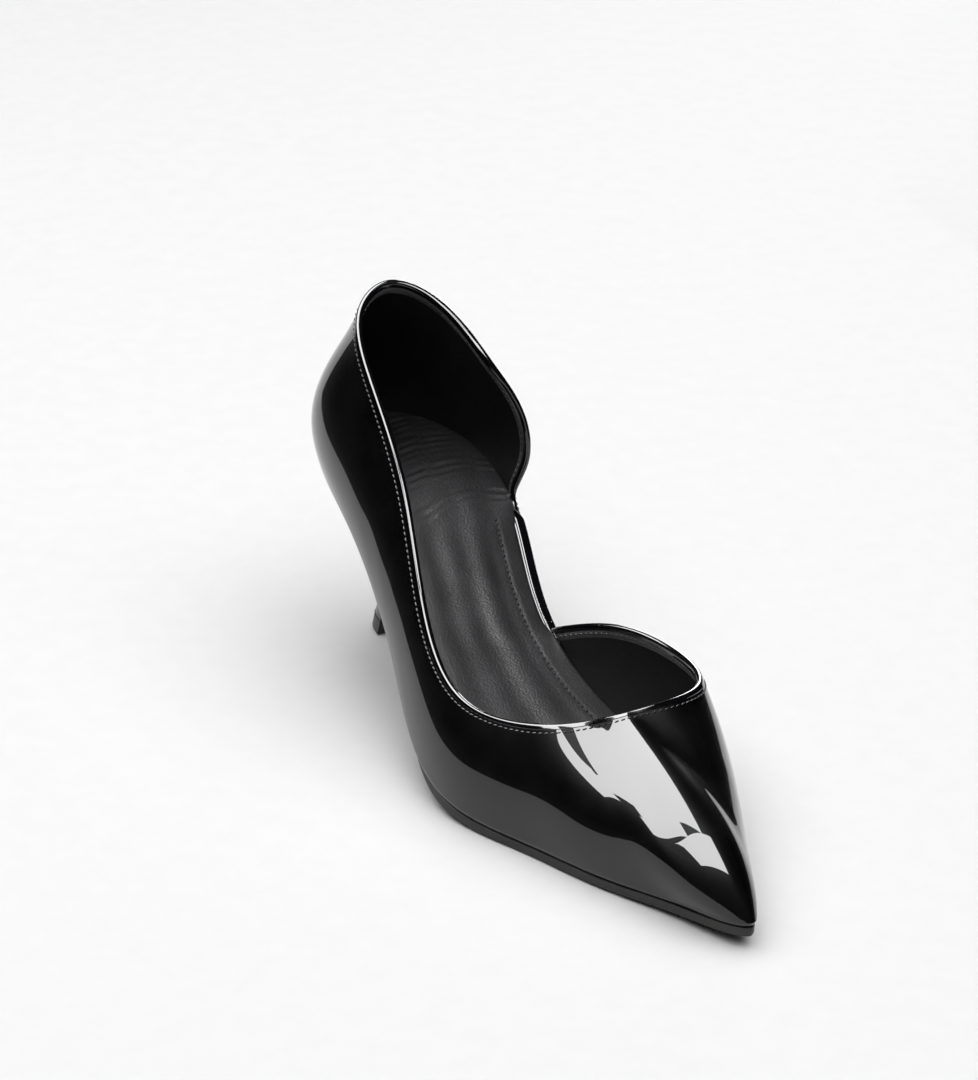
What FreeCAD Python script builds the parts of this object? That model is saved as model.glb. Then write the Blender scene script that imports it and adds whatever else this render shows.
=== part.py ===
import FreeCAD, Part
import math
import os

"""Right shoe of a pair: a pointed half-open pump with a slender 65 mm heel.

The shoe is drawn on its last in last-maker's coordinates, in millimetres:
u runs forward from the heel's back, w runs from the outer side (minus) to the
inner, big-toe side (plus), and z is the height above the ground. place() turns
that frame into the part's own: +X is the inner side, the toe points along -Y.
"""

V = FreeCAD.Vector

# ---- driving dimensions -------------------------------------------------------------

MID_U = 124.7          # the middle of the shoe's length, over the ground
MID_W = -1.45          # the middle of its width

OUTER_LEATHER = 1.0    # patent leather of the upper
REINFORCEMENT = 0.4    # puff, counter, tape and interlining between the two leathers
LINING = 0.7           # lining leather
WALL = OUTER_LEATHER + REINFORCEMENT + LINING
PIPING_DROP = 1.1      # how far the raw edges stop below the top line, inside the piping
PIPING_PROUD = 0.15    # how far the piping stands out past the wall on each side
TAPE_WIDTH = 4.0       # reinforcing tape under the piping
PUFF_LENGTH = 62.0     # toe puff, from the toe's tip back
GLUE = 0.05            # glue film on each face of the middle layer
LAYER_GAP = 0.2        # glue gap between neighbours in the middle layer
MARGIN_WIDTH = 8.0     # lasting margin turned under the insole

# Heights above the feather line, where the upper turns under (minus is below it).
SOLE_JOINT = -1.9      # outsole and heel seat meet the lasting margin here
MARGIN_TOP = -0.9
SHANK_TOP = 0.5
BOARD_THICKNESS = 1.2
PAD_TOP = 3.3
SOCK_TOP = 4.2

OUTSOLE_THICKNESS = 3.05
WAIST_SOLE_THICKNESS = 2.2
OUTSOLE_INSET = 0.5
WAIST_TUCK = 2.2       # how much further in the outsole's edge runs along the waist
SOCK_WAIST_INSET = 4.4 # the sock stops here at the open waist, and the patent strip shows
SOCK_WAIST = (3.9, 5.2)       # feather stations where the sock does so
WAIST_STATIONS = (3.6, 5.6)   # feather stations where boards and pads keep to the open waist
HEEL_BREAST = 47.5     # where the outsole ends against the heel
TURN_WEIGHT = 10.0     # rows per turn of the wall, against rows per millimetre
LINING_LIFT = 1.0      # how far the lining's lower edge stops above the feather line
FIT = 0.3              # room between a board's edge and the lining

INNER_TOE = 245.5      # boards and pads stop short of the toe's tip
SHANK_WIDTH = 11.0
SHANK_REACH = (16.0, 122.0)
SHANK_BOARD_END = 134.0
CUSHION_SPLIT = 74.0   # heel cushion behind, forefoot cushion in front

PIN_U = 30.0           # the heel's steel tube stands here, on the shoe's middle line
TUBE_RADIUS = 2.1
TUBE_BORE = 1.4
TUBE_TOP = 43.0
TOP_PIECE_HEIGHT = 5.0
COVER_THICKNESS = 0.6  # patent leather glued round the heel block

# Feather line seen from above: where the upper meets the sole, inner side first.
FEATHER = [
    (0, -1), (5.5, 13.5), (20, 25.5), (42, 31), (70, 28), (100, 22), (130, 27),
    (158, 34), (180, 34), (204, 29), (227, 19.5), (243, 12), (250.5, 6.5),
    (246, 1), (228, -6.5), (203.5, -19), (178.5, -29.5), (153.5, -40.5), (129, -42),
    (100, -36), (70, -31.5), (42, -29), (20, -25), (5, -16),
]
# Height of the feather line along the shoe: seat, waist, ball and toe spring.
FEATHER_HEIGHT = [
    (0, 66), (30, 61), (55, 54), (90, 35.5), (120, 17.5), (145, 7.8), (165, 5),
    (190, 4.9), (220, 6), (246, 8.5),
]
# Top line from the inner wing round the throat, the outer side and the heel to the
# inner flap. Each row: the feather station below it, its place u, w, z, and how full
# the wall stands out near the feather line and near the top line.
TOP_LINE = [
    (5.25, 104, 20.5, 31, 0.10, 0.10),
    (6.3, 125.5, 32, 40, 0.20, 0.20),
    (7.4, 152, 38, 42.5, 0.30, 0.30),
    (8.7, 175, 31.5, 45, 0.40, 0.35),
    (10.6, 183.5, 15, 46.5, 0.40, 0.30),
    (12.3, 180.5, -1, 43.5, 0.60, 0.20),
    (14.4, 176.5, -15, 41.5, 0.55, 0.25),
    (16.65, 164, -26, 38, 0.45, 0.35),
    (18.25, 141.5, -33.5, 37, 0.35, 0.30),
    (19.25, 111, -30.5, 50, 0.35, 0.25),
    (20.25, 79, -23, 78, 0.40, 0.20),
    (21.4, 48, -20, 101, 0.55, 0.10),
    (22.7, 25, -14, 117, 0.70, 0.00),
    (24, 19.5, -0.5, 123.5, 0.65, 0.00),
    (25.1, 30.5, 14.5, 117.5, 0.55, 0.05),
    (25.9, 51.5, 22.5, 103, 0.40, 0.20),
    (26.25, 56, 32.5, 85.5, 0.35, 0.25),
    (26.85, 58.5, 34, 67, 0.30, 0.20),
    (27.65, 59.5, 28, 55, 0.20, 0.15),
    (27.92, 66, 27, 49.8, 0.10, 0.10),
]
BACK_ROW = 13          # the row of TOP_LINE at the back seam
LINING_ROW = 10        # the two linings are joined at this row
FLAP_ROW = 16          # the tape ends here, where the inner flap starts to curl
# Heel sections from the top piece to above the seat: back u, z, front u, z, and the
# half widths at the front corners and near the back.
HEEL_SECTIONS = [
    (24.2, 4.0, 34.4, 4.0, 7.6, 6.4),
    (25.4, 13.0, 33.9, 13.0, 5.9, 4.9),
    (26.2, 26.0, 33.6, 25.0, 5.1, 4.2),
    (25.2, 37.0, 34.0, 35.0, 6.0, 4.9),
    (20.5, 46.0, 36.0, 42.5, 9.5, 7.4),
    (11.5, 53.5, 40.5, 47.0, 17.5, 13.5),
    (4.5, 60.5, 45.5, 51.5, 25.5, 19.0),
    (2.0, 67.0, 47.5, 57.5, 28.5, 21.5),
]
TREAD_SECTION = (24.2, 34.5, 8.5, 7.3)   # top piece on the ground: back, front, half widths
NAILS = [(15, 0), (22, -10), (22, 10), (37, -12), (37, 12)]
RIVETS = [46.0, 104.0]


MARGIN_UNDER = SOLE_JOINT + GLUE
MARGIN_OVER = MARGIN_TOP - GLUE
# The turned margin's underside and top: how far in from the feather line, how far above it.
MARGIN_PATH = (
    [(0.35, -0.9), (1.1, -1.6), (2.2, MARGIN_UNDER), (5.0, MARGIN_UNDER), (MARGIN_WIDTH, MARGIN_UNDER)],
    [(1.25, -0.35), (1.7, -0.7), (2.4, MARGIN_OVER), (5.0, MARGIN_OVER), (MARGIN_WIDTH, MARGIN_OVER)],
)


# ---- curves -------------------------------------------------------------------------

def solve(rows, right):
    """Gaussian elimination for several right-hand columns at once."""
    n = len(rows)
    m = [list(rows[i]) + list(right[i]) for i in range(n)]
    for i in range(n):
        best = max(range(i, n), key=lambda r: abs(m[r][i]))
        m[i], m[best] = m[best], m[i]
        for r in range(i + 1, n):
            f = m[r][i] / m[i][i]
            if f:
                m[r] = [x - f * y for x, y in zip(m[r], m[i])]
    out = [None] * n
    for i in reversed(range(n)):
        tail = m[i][n:]
        for j in range(i + 1, n):
            tail = [t - m[i][j] * o for t, o in zip(tail, out[j])]
        out[i] = [t / m[i][i] for t in tail]
    return out


class Spline:
    """Cubic spline through points at given knots, natural at its ends or closed."""

    def __init__(self, knots, points, closed=False):
        self.t, self.p, n = knots, points, len(points)
        rows, right = [], []
        for i in range(n):
            row = [0.0] * n
            if closed or 0 < i < n - 1:
                a = knots[i] - knots[i - 1] if i else knots[-1] - knots[-2]
                b = knots[(i + 1) % n] - knots[i] if i < n - 1 else knots[1] - knots[0]
                before = points[i - 1] if i else points[-2]
                after = points[(i + 1) % n] if i < n - 1 else points[1]
                row[i - 1 if i else n - 2] += a
                row[i] += 2 * (a + b)
                row[i + 1 if i < n - 1 else 1] += b
                right.append([6 * ((y - x) / b - (x - w) / a)
                              for w, x, y in zip(before, points[i], after)])
            else:
                row[i] = 1.0
                right.append([0.0] * len(points[0]))
            rows.append(row)
        self.curve = solve(rows, right)

    def __call__(self, t):
        i = 0
        while i < len(self.t) - 2 and t > self.t[i + 1]:
            i += 1
        h = self.t[i + 1] - self.t[i]
        a, b = (self.t[i + 1] - t) / h, (t - self.t[i]) / h
        return [a * p + b * q + ((a ** 3 - a) * m + (b ** 3 - b) * n) * h * h / 6
                for p, q, m, n in zip(self.p[i], self.p[i + 1], self.curve[i], self.curve[i + 1])]


def centripetal(points):
    """Knots that grow with the square root of each chord."""
    knots = [0.0]
    for p, q in zip(points, points[1:]):
        knots.append(knots[-1] + math.sqrt(math.dist(p, q)))
    return knots


FEATHER_LOOP = FEATHER + FEATHER[:1]
FEATHER_KNOTS = centripetal(FEATHER_LOOP)
FEATHER_CURVE = Spline(FEATHER_KNOTS, FEATHER_LOOP, closed=True)
HEIGHT_CURVE = Spline([u for u, z in FEATHER_HEIGHT], [(z,) for u, z in FEATHER_HEIGHT])
TOP_CHORDS = centripetal([row[1:4] for row in TOP_LINE])
TOP_KNOTS = [t / TOP_CHORDS[-1] for t in TOP_CHORDS]
TOP_CURVE = Spline(TOP_KNOTS, TOP_LINE)
BACK = TOP_KNOTS[BACK_ROW]


def height(u, above=0.0):
    """z of the surface that lies `above` the feather line's own, measured square to it."""
    z = HEIGHT_CURVE(u)[0]
    slope = (HEIGHT_CURVE(u + 0.5)[0] - HEIGHT_CURVE(u - 0.5)[0])
    return z + above * math.hypot(1.0, slope)


def feather(station):
    """Point of the feather line at a station, and the level direction out of the shoe."""
    count = len(FEATHER)
    station %= count
    i = int(station)
    t = FEATHER_KNOTS[i] + (station - i) * (FEATHER_KNOTS[i + 1] - FEATHER_KNOTS[i])
    u, w = FEATHER_CURVE(t)
    end = FEATHER_KNOTS[-1]
    u0, w0 = FEATHER_CURVE((t - 0.01) % end)
    u1, w1 = FEATHER_CURVE((t + 0.01) % end)
    out = V(w0 - w1, u1 - u0, 0)
    return V(u, w, height(u)), out.normalize()


def inward(point):
    """Level direction from a feather point towards the shoe's middle line."""
    u = min(max(point.x, 26.0), 226.0)
    middle = 6.5 * max(0.0, (u - 150.0) / 76.0)
    return V(u - point.x, middle - point.y, 0).normalize()


def under(point, distance, above):
    """Point on the underside: this far in from the feather line, this far above it."""
    p = point + inward(point) * distance
    return V(p.x, p.y, height(p.x, above))


# ---- the upper's wall ---------------------------------------------------------------

def wall_line(a):
    """The four poles of the wall's curve from the top line to the feather line."""
    station, u, w, z, low, high = TOP_CURVE(a)
    top = V(u, w, z)
    foot, out = feather(station)
    chord = foot - top
    length = chord.Length
    along = chord / length
    bulge = (out - along * out.dot(along)).normalize()
    third = length / 3
    return top, top + (along + bulge * high) * third, foot + (bulge * low - along) * third, foot


def wall_point(a, b):
    """Point on the wall's outer face: b is 0 at the top line, 1 at the feather line."""
    p, q, r, s = wall_line(a)
    c = 1 - b
    return p * c ** 3 + q * (3 * c * c * b) + r * (3 * c * b * b) + s * b ** 3


def wall_length(a):
    points = [wall_point(a, i / 8) for i in range(9)]
    return sum((q - p).Length for p, q in zip(points, points[1:]))


def wall_frame(a, b):
    """Point on the outer face, the direction into the shoe and the direction up the wall."""
    e = 1e-4
    up = (wall_point(a, b - e) - wall_point(a, b + e)).normalize()
    along = wall_point(a + e, b) - wall_point(a - e, b)
    return wall_point(a, b), up.cross(along).normalize() * -1, up


def layer_point(a, b, depth):
    """Point `depth` inside the outer face."""
    point, into, up = wall_frame(a, b)
    return point + into * depth


def steps(start, end, count):
    return [start + (end - start) * i / count for i in range(count + 1)]


def travel():
    """Running length of top line, feather line and turning, which spaces the wall's rows."""
    total, table, last = 0.0, [(0.0, 0.0)], None
    for a in steps(0, 1, 600):
        row = TOP_CURVE(a)
        foot, out = feather(row[0])
        here = V(*row[1:4]), foot, out
        if last:
            total += (here[0] - last[0]).Length + (here[1] - last[1]).Length
            total += TURN_WEIGHT * (here[2] - last[2]).Length
            table.append((total, a))
        last = here
    return table


TRAVEL = travel()


def between(value, table, given, wanted):
    """Straight interpolation in a table sorted by its column `given`."""
    for p, q in zip(table, table[1:]):
        if value <= q[given]:
            share = (value - p[given]) / (q[given] - p[given])
            return p[wanted] + share * (q[wanted] - p[wanted])
    return table[-1][wanted]


def rows(start, end, spacing=4.5):
    """Values of a from start to end, closer together where the wall turns."""
    first, last = between(start, TRAVEL, 1, 0), between(end, TRAVEL, 1, 0)
    inner = steps(first, last, max(8, math.ceil((last - first) / spacing)))[1:-1]
    return [start] + [between(m, TRAVEL, 0, 1) for m in inner] + [end]


# ---- solids -------------------------------------------------------------------------

def strand(points, knots):
    """Cubic curve through points, at knots that all its neighbours share."""
    curve = Part.BSplineCurve()
    curve.interpolate(Points=points, Parameters=knots)
    return curve


def unit_knots(count):
    return [i / (count - 1) for i in range(count)]


def surface(grid):
    """Smooth face through a grid of points, the same number in every row."""
    rows = [strand(row, unit_knots(len(row))) for row in grid]
    poles = [row.getPoles() for row in rows]
    columns = [strand(column, unit_knots(len(grid))) for column in map(list, zip(*poles))]
    net = list(zip(*[column.getPoles() for column in columns]))
    patch = Part.BSplineSurface()
    patch.buildFromPolesMultsKnots(
        net, columns[0].getMultiplicities(), rows[0].getMultiplicities(),
        columns[0].getKnots(), rows[0].getKnots(), False, False, 3, 3)
    return patch.toShape()


def ribbon(row, partner):
    """Straight-ruled face between two rows of points."""
    curves = [strand(points, unit_knots(len(points))) for points in (row, partner)]
    patch = Part.BSplineSurface()
    patch.buildFromPolesMultsKnots(
        [curve.getPoles() for curve in curves], [2, 2], curves[0].getMultiplicities(),
        [0.0, 1.0], curves[0].getKnots(), False, False, 1, 3)
    return patch.toShape()


def border(grid):
    """The four edges of a grid, as rows of points."""
    return [grid[0], [row[-1] for row in grid], grid[-1], [row[0] for row in grid]]


def close(faces):
    """One solid from faces that meet along their edges."""
    shell = Part.makeCompound(faces)
    shell.sewShape(0.005)
    solid = Part.Solid(shell.Shells[0])
    if solid.Volume < 0:
        solid.reverse()
    return solid


def sheet(*pairs):
    """Solid between outer and inner grids, laid end to end, with ruled walls along the rim."""
    faces = []
    for outer, inner in pairs:
        faces += [surface(outer), surface(inner)]
    rims = [[], [], [], []]
    for outer, inner in pairs:
        for rim, row, partner in zip(rims, border(outer), border(inner)):
            rim.append(ribbon(row, partner))
    faces += rims[0] + rims[2] + [rims[1][-1], rims[3][0]]
    return close(faces)


def layer(a_steps, top, foot, depths, count=12):
    """A layer of the wall, from `top` to `foot` (both give b for an a)."""
    grids = []
    for depth in depths:
        grids.append([[layer_point(a, b, depth) for b in steps(top(a), foot(a), count)]
                      for a in a_steps])
    return sheet(grids)


def below_top(distance):
    return lambda a: distance / wall_length(a)


def lasted(a_steps):
    """Outer leather: the wall and the margin turned under the insole, in one piece."""
    wall, turn = ([], []), ([], [])
    for a in a_steps:
        foot = wall_point(a, 1)
        for k, depth in enumerate((0, OUTER_LEATHER)):
            wall[k].append([layer_point(a, b, depth) for b in steps(below_top(PIPING_DROP)(a), 1, 12)])
            turn[k].append([wall[k][-1][-1]] + [under(foot, d, above) for d, above in MARGIN_PATH[k]])
    return sheet(wall, turn)


def piping(a_steps):
    """Half-round bead that covers the raw top edges of leather, tape and lining."""
    arch, count = [], 8
    for a in a_steps:
        point, into, up = wall_frame(a, below_top(PIPING_DROP)(a))
        middle = point + into * (WALL / 2)
        half = WALL / 2 + PIPING_PROUD
        arch.append([middle - into * (half * math.cos(math.pi * k / count))
                     + up * (PIPING_DROP * math.sin(math.pi * k / count)) for k in range(count + 1)])
    faces = [surface(arch), ribbon([row[0] for row in arch], [row[-1] for row in arch])]
    for row in (arch[0], arch[-1]):
        curve = strand(row, unit_knots(len(row))).toShape()
        faces.append(Part.Face(Part.Wire([curve, Part.makeLine(row[-1], row[0])])))
    return close(faces)


# ---- boards, pads and soles: an outline cut from a slab bent to the shoe's profile ---

def slab(start, end, low, high):
    """Slab across the shoe between two heights above the feather line."""
    lower = [V(u, -70, height(u, low(u))) for u in steps(start, end, 32)]
    upper = [V(u, -70, height(u, high(u))) for u in steps(start, end, 32)]
    edges = [strand(row, unit_knots(len(row))).toShape() for row in (lower, upper)]
    edges += [Part.makeLine(lower[-1], upper[-1]), Part.makeLine(upper[0], lower[0])]
    return Part.Face(Part.Wire(Part.__sortEdges__(edges))).extrude(V(0, 140, 0))


def prism(points):
    """Upright solid on a closed smooth outline."""
    curve = Part.BSplineCurve()
    curve.interpolate(Points=[V(p.x, p.y, -30) for p in points], PeriodicFlag=True,
                      Parameters=centripetal([(p.x, p.y) for p in points + points[:1]]))
    return Part.Face(Part.Wire(curve.toShape())).extrude(V(0, 0, 160))


def level(value):
    return lambda u: value


def stations():
    return [i / 4 for i in range(4 * len(FEATHER))]


def wall_above(station):
    """Where the wall stands over a feather station: its a, or None in the open waist."""
    if station < TOP_LINE[0][0]:
        station += len(FEATHER)
    if station > TOP_LINE[-1][0]:
        return None
    a, b = 0.0, 1.0
    for _ in range(30):
        middle = (a + b) / 2
        if TOP_CURVE(middle)[0] < station:
            a = middle
        else:
            b = middle
    return a


def underside(distance):
    """Outline this far in from the feather line, towards the shoe's middle line."""
    return [under(feather(station)[0], distance, 0) for station in stations()]


def outline(inset, at_waist=None, waist=WAIST_STATIONS):
    """Outline parallel to the feather line, with its own inset in the open waist."""
    points = []
    for station in stations():
        foot, out = feather(station)
        open_here = at_waist is not None and waist[0] < station < waist[1]
        points.append(foot - out * (at_waist if open_here else inset))
    return points


def sole_outline():
    """The outsole's edge: close to the feather line in front, tucked in along the waist."""
    points = []
    for station in stations():
        foot, out = feather(station)
        points.append(foot - out * (OUTSOLE_INSET + WAIST_TUCK * (1 - ease(foot.x, 105, 150))))
    return points


def ease(u, start, end):
    """Smooth step from 0 at start to 1 at end."""
    t = min(max((u - start) / (end - start), 0.0), 1.0)
    return t * t * (3 - 2 * t)


def board_low(u):
    """Underside of the insole board: on the shank board behind, on the margin in front."""
    return SHANK_TOP + (MARGIN_TOP - SHANK_TOP) * ease(u, 116, SHANK_BOARD_END + 8)


def board_high(u):
    return board_low(u) + BOARD_THICKNESS


def sole_low(u):
    """Underside of the outsole: thinner through the waist."""
    waist = OUTSOLE_THICKNESS - WAIST_SOLE_THICKNESS
    return SOLE_JOINT - OUTSOLE_THICKNESS + waist * (1 - ease(u, 90, 150))


# ---- heel ---------------------------------------------------------------------------

def heel_ring(section, skin):
    """Outline of one heel section, `skin` inside its outer face, front corner to front corner."""
    back, back_z, front, front_z, wide, narrow = section
    back, front, wide, narrow = back + skin, front - skin, wide - skin, narrow - skin
    square = 3.4 - 1.2 * ease(wide, 7, 26)
    ring = []
    for k in range(21):
        turn = math.pi * k / 20
        s, c = math.sin(turn), math.cos(turn)
        r = (abs(s) ** square + abs(c) ** square) ** (-1 / square)
        u = front - (front - back) * r * s
        w = (wide + (narrow - wide) * r * s) * r * c
        share = (u - section[0]) / (section[2] - section[0])
        ring.append(V(u, w, back_z + (front_z - back_z) * share))
    return ring


def heel_form(sections, skin=0.0):
    """Solid through heel sections, with a flat front and flat ends."""
    rings = [heel_ring(section, skin) for section in sections]
    faces = [surface(rings), ribbon([ring[0] for ring in rings], [ring[-1] for ring in rings])]
    for ring in (rings[0], rings[-1]):
        curve = strand(ring, unit_knots(len(ring))).toShape()
        faces.append(Part.Face(Part.Wire([curve, Part.makeLine(ring[-1], ring[0])])))
    return close(faces)


def seat_normal(u):
    slope = HEIGHT_CURVE(u + 0.5)[0] - HEIGHT_CURVE(u - 0.5)[0]
    return V(-slope, 0, 1).normalize()


def peg(u, w, top, bottom, radius):
    """Cylinder square to the seat between two heights above the feather line."""
    up = seat_normal(u)
    start = V(u, w, height(u)) + up * bottom
    return Part.makeCylinder(radius, top - bottom, start, up)


# ---- the shoe -----------------------------------------------------------------------

def build_upper():
    """Outer leather, reinforcements, linings and piping."""
    seam = TOP_KNOTS[LINING_ROW]
    drop = below_top(PIPING_DROP)
    tape_foot = below_top(PIPING_DROP + TAPE_WIDTH)
    under_tape = below_top(PIPING_DROP + TAPE_WIDTH + LAYER_GAP)
    middle = (OUTER_LEATHER + GLUE, OUTER_LEATHER + REINFORCEMENT - GLUE)
    inner = (OUTER_LEATHER + REINFORCEMENT, WALL)
    puff = (wall_above(9.4), wall_above(15.0))
    counter = (wall_above(20.9), wall_above(2.75))
    gap = 0.001

    def puff_top(a):
        return max(under_tape(a), 1 - PUFF_LENGTH / wall_length(a))

    def nearly_foot(a):
        return 0.985

    def lining_foot(a):
        return 1 - LINING_LIFT / wall_length(a)

    return {
        "vamp": lasted(rows(0, BACK)),
        "inner_quarter": lasted(rows(BACK, 1, 3.5)),
        "vamp_lining": layer(rows(0, seam), drop, lining_foot, inner),
        "quarter_lining": layer(rows(seam, 1, 3.5), drop, lining_foot, inner),
        "topline_tape": layer(rows(0.006, TOP_KNOTS[FLAP_ROW], 3.5), drop, tape_foot, middle, 3),
        "toe_puff": layer(rows(*puff), puff_top, nearly_foot, middle, 16),
        "heel_counter": layer(rows(*counter), under_tape, nearly_foot, middle),
        "inner_wing_interlining": layer(
            rows(0.03, puff[0] - gap), under_tape, nearly_foot, middle),
        "outer_side_interlining": layer(
            rows(puff[1] + gap, counter[0] - gap), under_tape, nearly_foot, middle),
        "topline_piping": piping(rows(0, 1, 3.5)),
    }


def build_waist_wrap():
    """Patent strip folded round the insole's edge where the inner side is cut away."""
    top = PAD_TOP - 2 * GLUE
    over = [(9.0, top), (5.0, top), (1.7, top), (0.5, 2.7), (0.0, 1.3), (0.0, 0.0)]
    lining_side = [(9.0, 2.4), (5.0, 2.4), (2.1, 2.4), (1.3, 1.9), (0.9, 1.1), (0.9, 0.0)]
    outer, inner = [], []
    for station in steps(3.96, 5.11, 14):
        foot = feather(station)[0]
        outer.append([under(foot, d, above) for d, above in over + MARGIN_PATH[0]])
        inner.append([under(foot, d, above) for d, above in lining_side + MARGIN_PATH[1]])
    return sheet((outer, inner))


def build_bottom():
    """Insole, shank, cushions, sock, filler and outsole, with the heel's fasteners."""
    board_room = prism(outline(WALL + FIT))
    pad_room = prism(outline(WALL + FIT + 0.2, 9.4))
    sock_room = prism(outline(WALL + FIT + 0.2, SOCK_WAIST_INSET, SOCK_WAIST))
    shank_strip = Part.makeBox(200, SHANK_WIDTH, 160, V(SHANK_REACH[0], -SHANK_WIDTH / 2, -30))
    shank_end = Part.makeBox(200, 200, 200, V(SHANK_REACH[1], -100, -50))
    slot = shank_strip.cut(shank_end)

    insole = slab(0, INNER_TOE, board_low, board_high).common(board_room)
    shank_board = slab(0, SHANK_BOARD_END, level(MARGIN_TOP), board_low).common(board_room)
    shank = slab(10, 126, level(MARGIN_TOP), board_low).common(slot)
    shank_board = shank_board.cut(slot)
    filler = slab(12, 240, level(SOLE_JOINT), level(MARGIN_TOP)).common(
        prism(underside(MARGIN_WIDTH + LAYER_GAP)))
    heel_pad = slab(0, CUSHION_SPLIT, board_high, level(PAD_TOP)).common(pad_room)
    ball_pad = slab(CUSHION_SPLIT + LAYER_GAP, INNER_TOE, board_high, level(PAD_TOP)).common(pad_room)
    sock = slab(0, INNER_TOE, level(PAD_TOP), level(SOCK_TOP)).common(sock_room)

    outsole = slab(HEEL_BREAST, 254, sole_low, level(SOLE_JOINT)).common(prism(sole_outline()))
    outsole = outsole.cut(Part.makeBox(400, 400, 40, V(-50, -200, -40)))

    rivets = [peg(u, 0, board_high(u), MARGIN_TOP, 2.0) for u in RIVETS]
    rivet_holes = [peg(u, 0, 5.0, -5.0, 2.0) for u in RIVETS]
    screw_shaft = peg(PIN_U, 0, board_high(PIN_U), -11.0, 1.9)
    screw_head = peg(PIN_U, 0, board_high(PIN_U) + 1.2, board_high(PIN_U), 3.6)
    nail_shafts = [peg(u, w, board_high(u), -7.5, 0.9) for u, w in NAILS]
    nail_heads = [peg(u, w, board_high(u) + 0.5, board_high(u), 2.0) for u, w in NAILS]
    nail_holes = [peg(u, w, 5.0, -7.5, 0.9) for u, w in NAILS]
    shaft_holes = nail_holes + [peg(PIN_U, 0, 5.0, -11.0, 1.9)]
    return {
        "insole_board": insole.cut(shaft_holes + rivet_holes),
        "shank_board": shank_board.cut(nail_holes),
        "steel_shank": shank.cut(rivet_holes + shaft_holes[-1:]),
        "shank_rivets": Part.makeCompound(rivets),
        "bottom_filler": filler.cut(shaft_holes),
        "heel_cushion": heel_pad.cut(nail_heads + [screw_head]),
        "forefoot_cushion": ball_pad,
        "sock_lining": sock,
        "outsole": outsole,
        "heel_screw": screw_shaft.fuse(screw_head).removeSplitter(),
        "heel_nails": Part.makeCompound(
            [s.fuse(h).removeSplitter() for s, h in zip(nail_shafts, nail_heads)]),
    }, shaft_holes


def build_heel(shaft_holes):
    """Heel block in its leather cover, steel tube, and the top piece on its dowel."""
    above_seat = slab(-20, 70, level(SOLE_JOINT), level(40))
    ground_end = Part.makeBox(200, 200, 50, V(-50, -100, TOP_PIECE_HEIGHT - 50))
    outer = heel_form(HEEL_SECTIONS).cut(above_seat).cut(ground_end)
    block = heel_form(HEEL_SECTIONS, COVER_THICKNESS).cut(above_seat).cut(ground_end)
    tube_space = Part.makeCylinder(TUBE_RADIUS, TUBE_TOP - TOP_PIECE_HEIGHT, V(PIN_U, 0, TOP_PIECE_HEIGHT))
    bore = Part.makeCylinder(TUBE_BORE, TUBE_TOP, V(PIN_U, 0, TOP_PIECE_HEIGHT))
    dowel = Part.makeCylinder(TUBE_BORE, 22.0, V(PIN_U, 0, 1.6))

    back, front, wide, narrow = TREAD_SECTION
    tip = HEEL_SECTIONS[0]
    joint = (24.3, TOP_PIECE_HEIGHT, 34.35, TOP_PIECE_HEIGHT, 7.4, 6.25)
    tread = (back, 0.0, front, 0.0, wide, narrow)
    middle = tuple((a + b) / 2 for a, b in zip(joint, tread))
    lower_middle = tuple((a + b) / 2 for a, b in zip(middle, tread))
    top_piece = heel_form([tread, lower_middle, middle, joint])
    return {
        "heel_cover": outer.cut(block),
        "heel_block": block.cut(shaft_holes + [tube_space]),
        "heel_tube": tube_space.cut(bore),
        "top_piece": top_piece.cut(dowel),
        "top_piece_dowel": dowel,
    }


def place(shape):
    """From last-maker's coordinates to the part's frame."""
    shape = shape.copy()
    shape.rotate(V(0, 0, 0), V(0, 0, 1), -90)
    shape.translate(V(-MID_W, MID_U, 0))
    return shape


def main():
    os.makedirs("parts", exist_ok=True)
    nodes = build_upper()
    nodes["waist_wrap"] = build_waist_wrap()
    bottom, shaft_holes = build_bottom()
    nodes.update(bottom)
    nodes.update(build_heel(shaft_holes))
    for name, shape in nodes.items():
        shape = place(shape)
        shape.exportStep("parts/" + name + ".step")
        box = shape.optimalBoundingBox()
        print("%-24s %2d solids  valid %s  %9.1f mm3  x %.1f..%.1f  y %.1f..%.1f  z %.1f..%.1f" % (
            name, len(shape.Solids), shape.isValid(), shape.Volume,
            box.XMin, box.XMax, box.YMin, box.YMax, box.ZMin, box.ZMax))


main()
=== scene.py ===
import logging
import math
from collections.abc import Callable
from dataclasses import dataclass, field
from enum import Enum

import bpy
import numpy as np
from mathutils import Matrix, Vector


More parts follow.
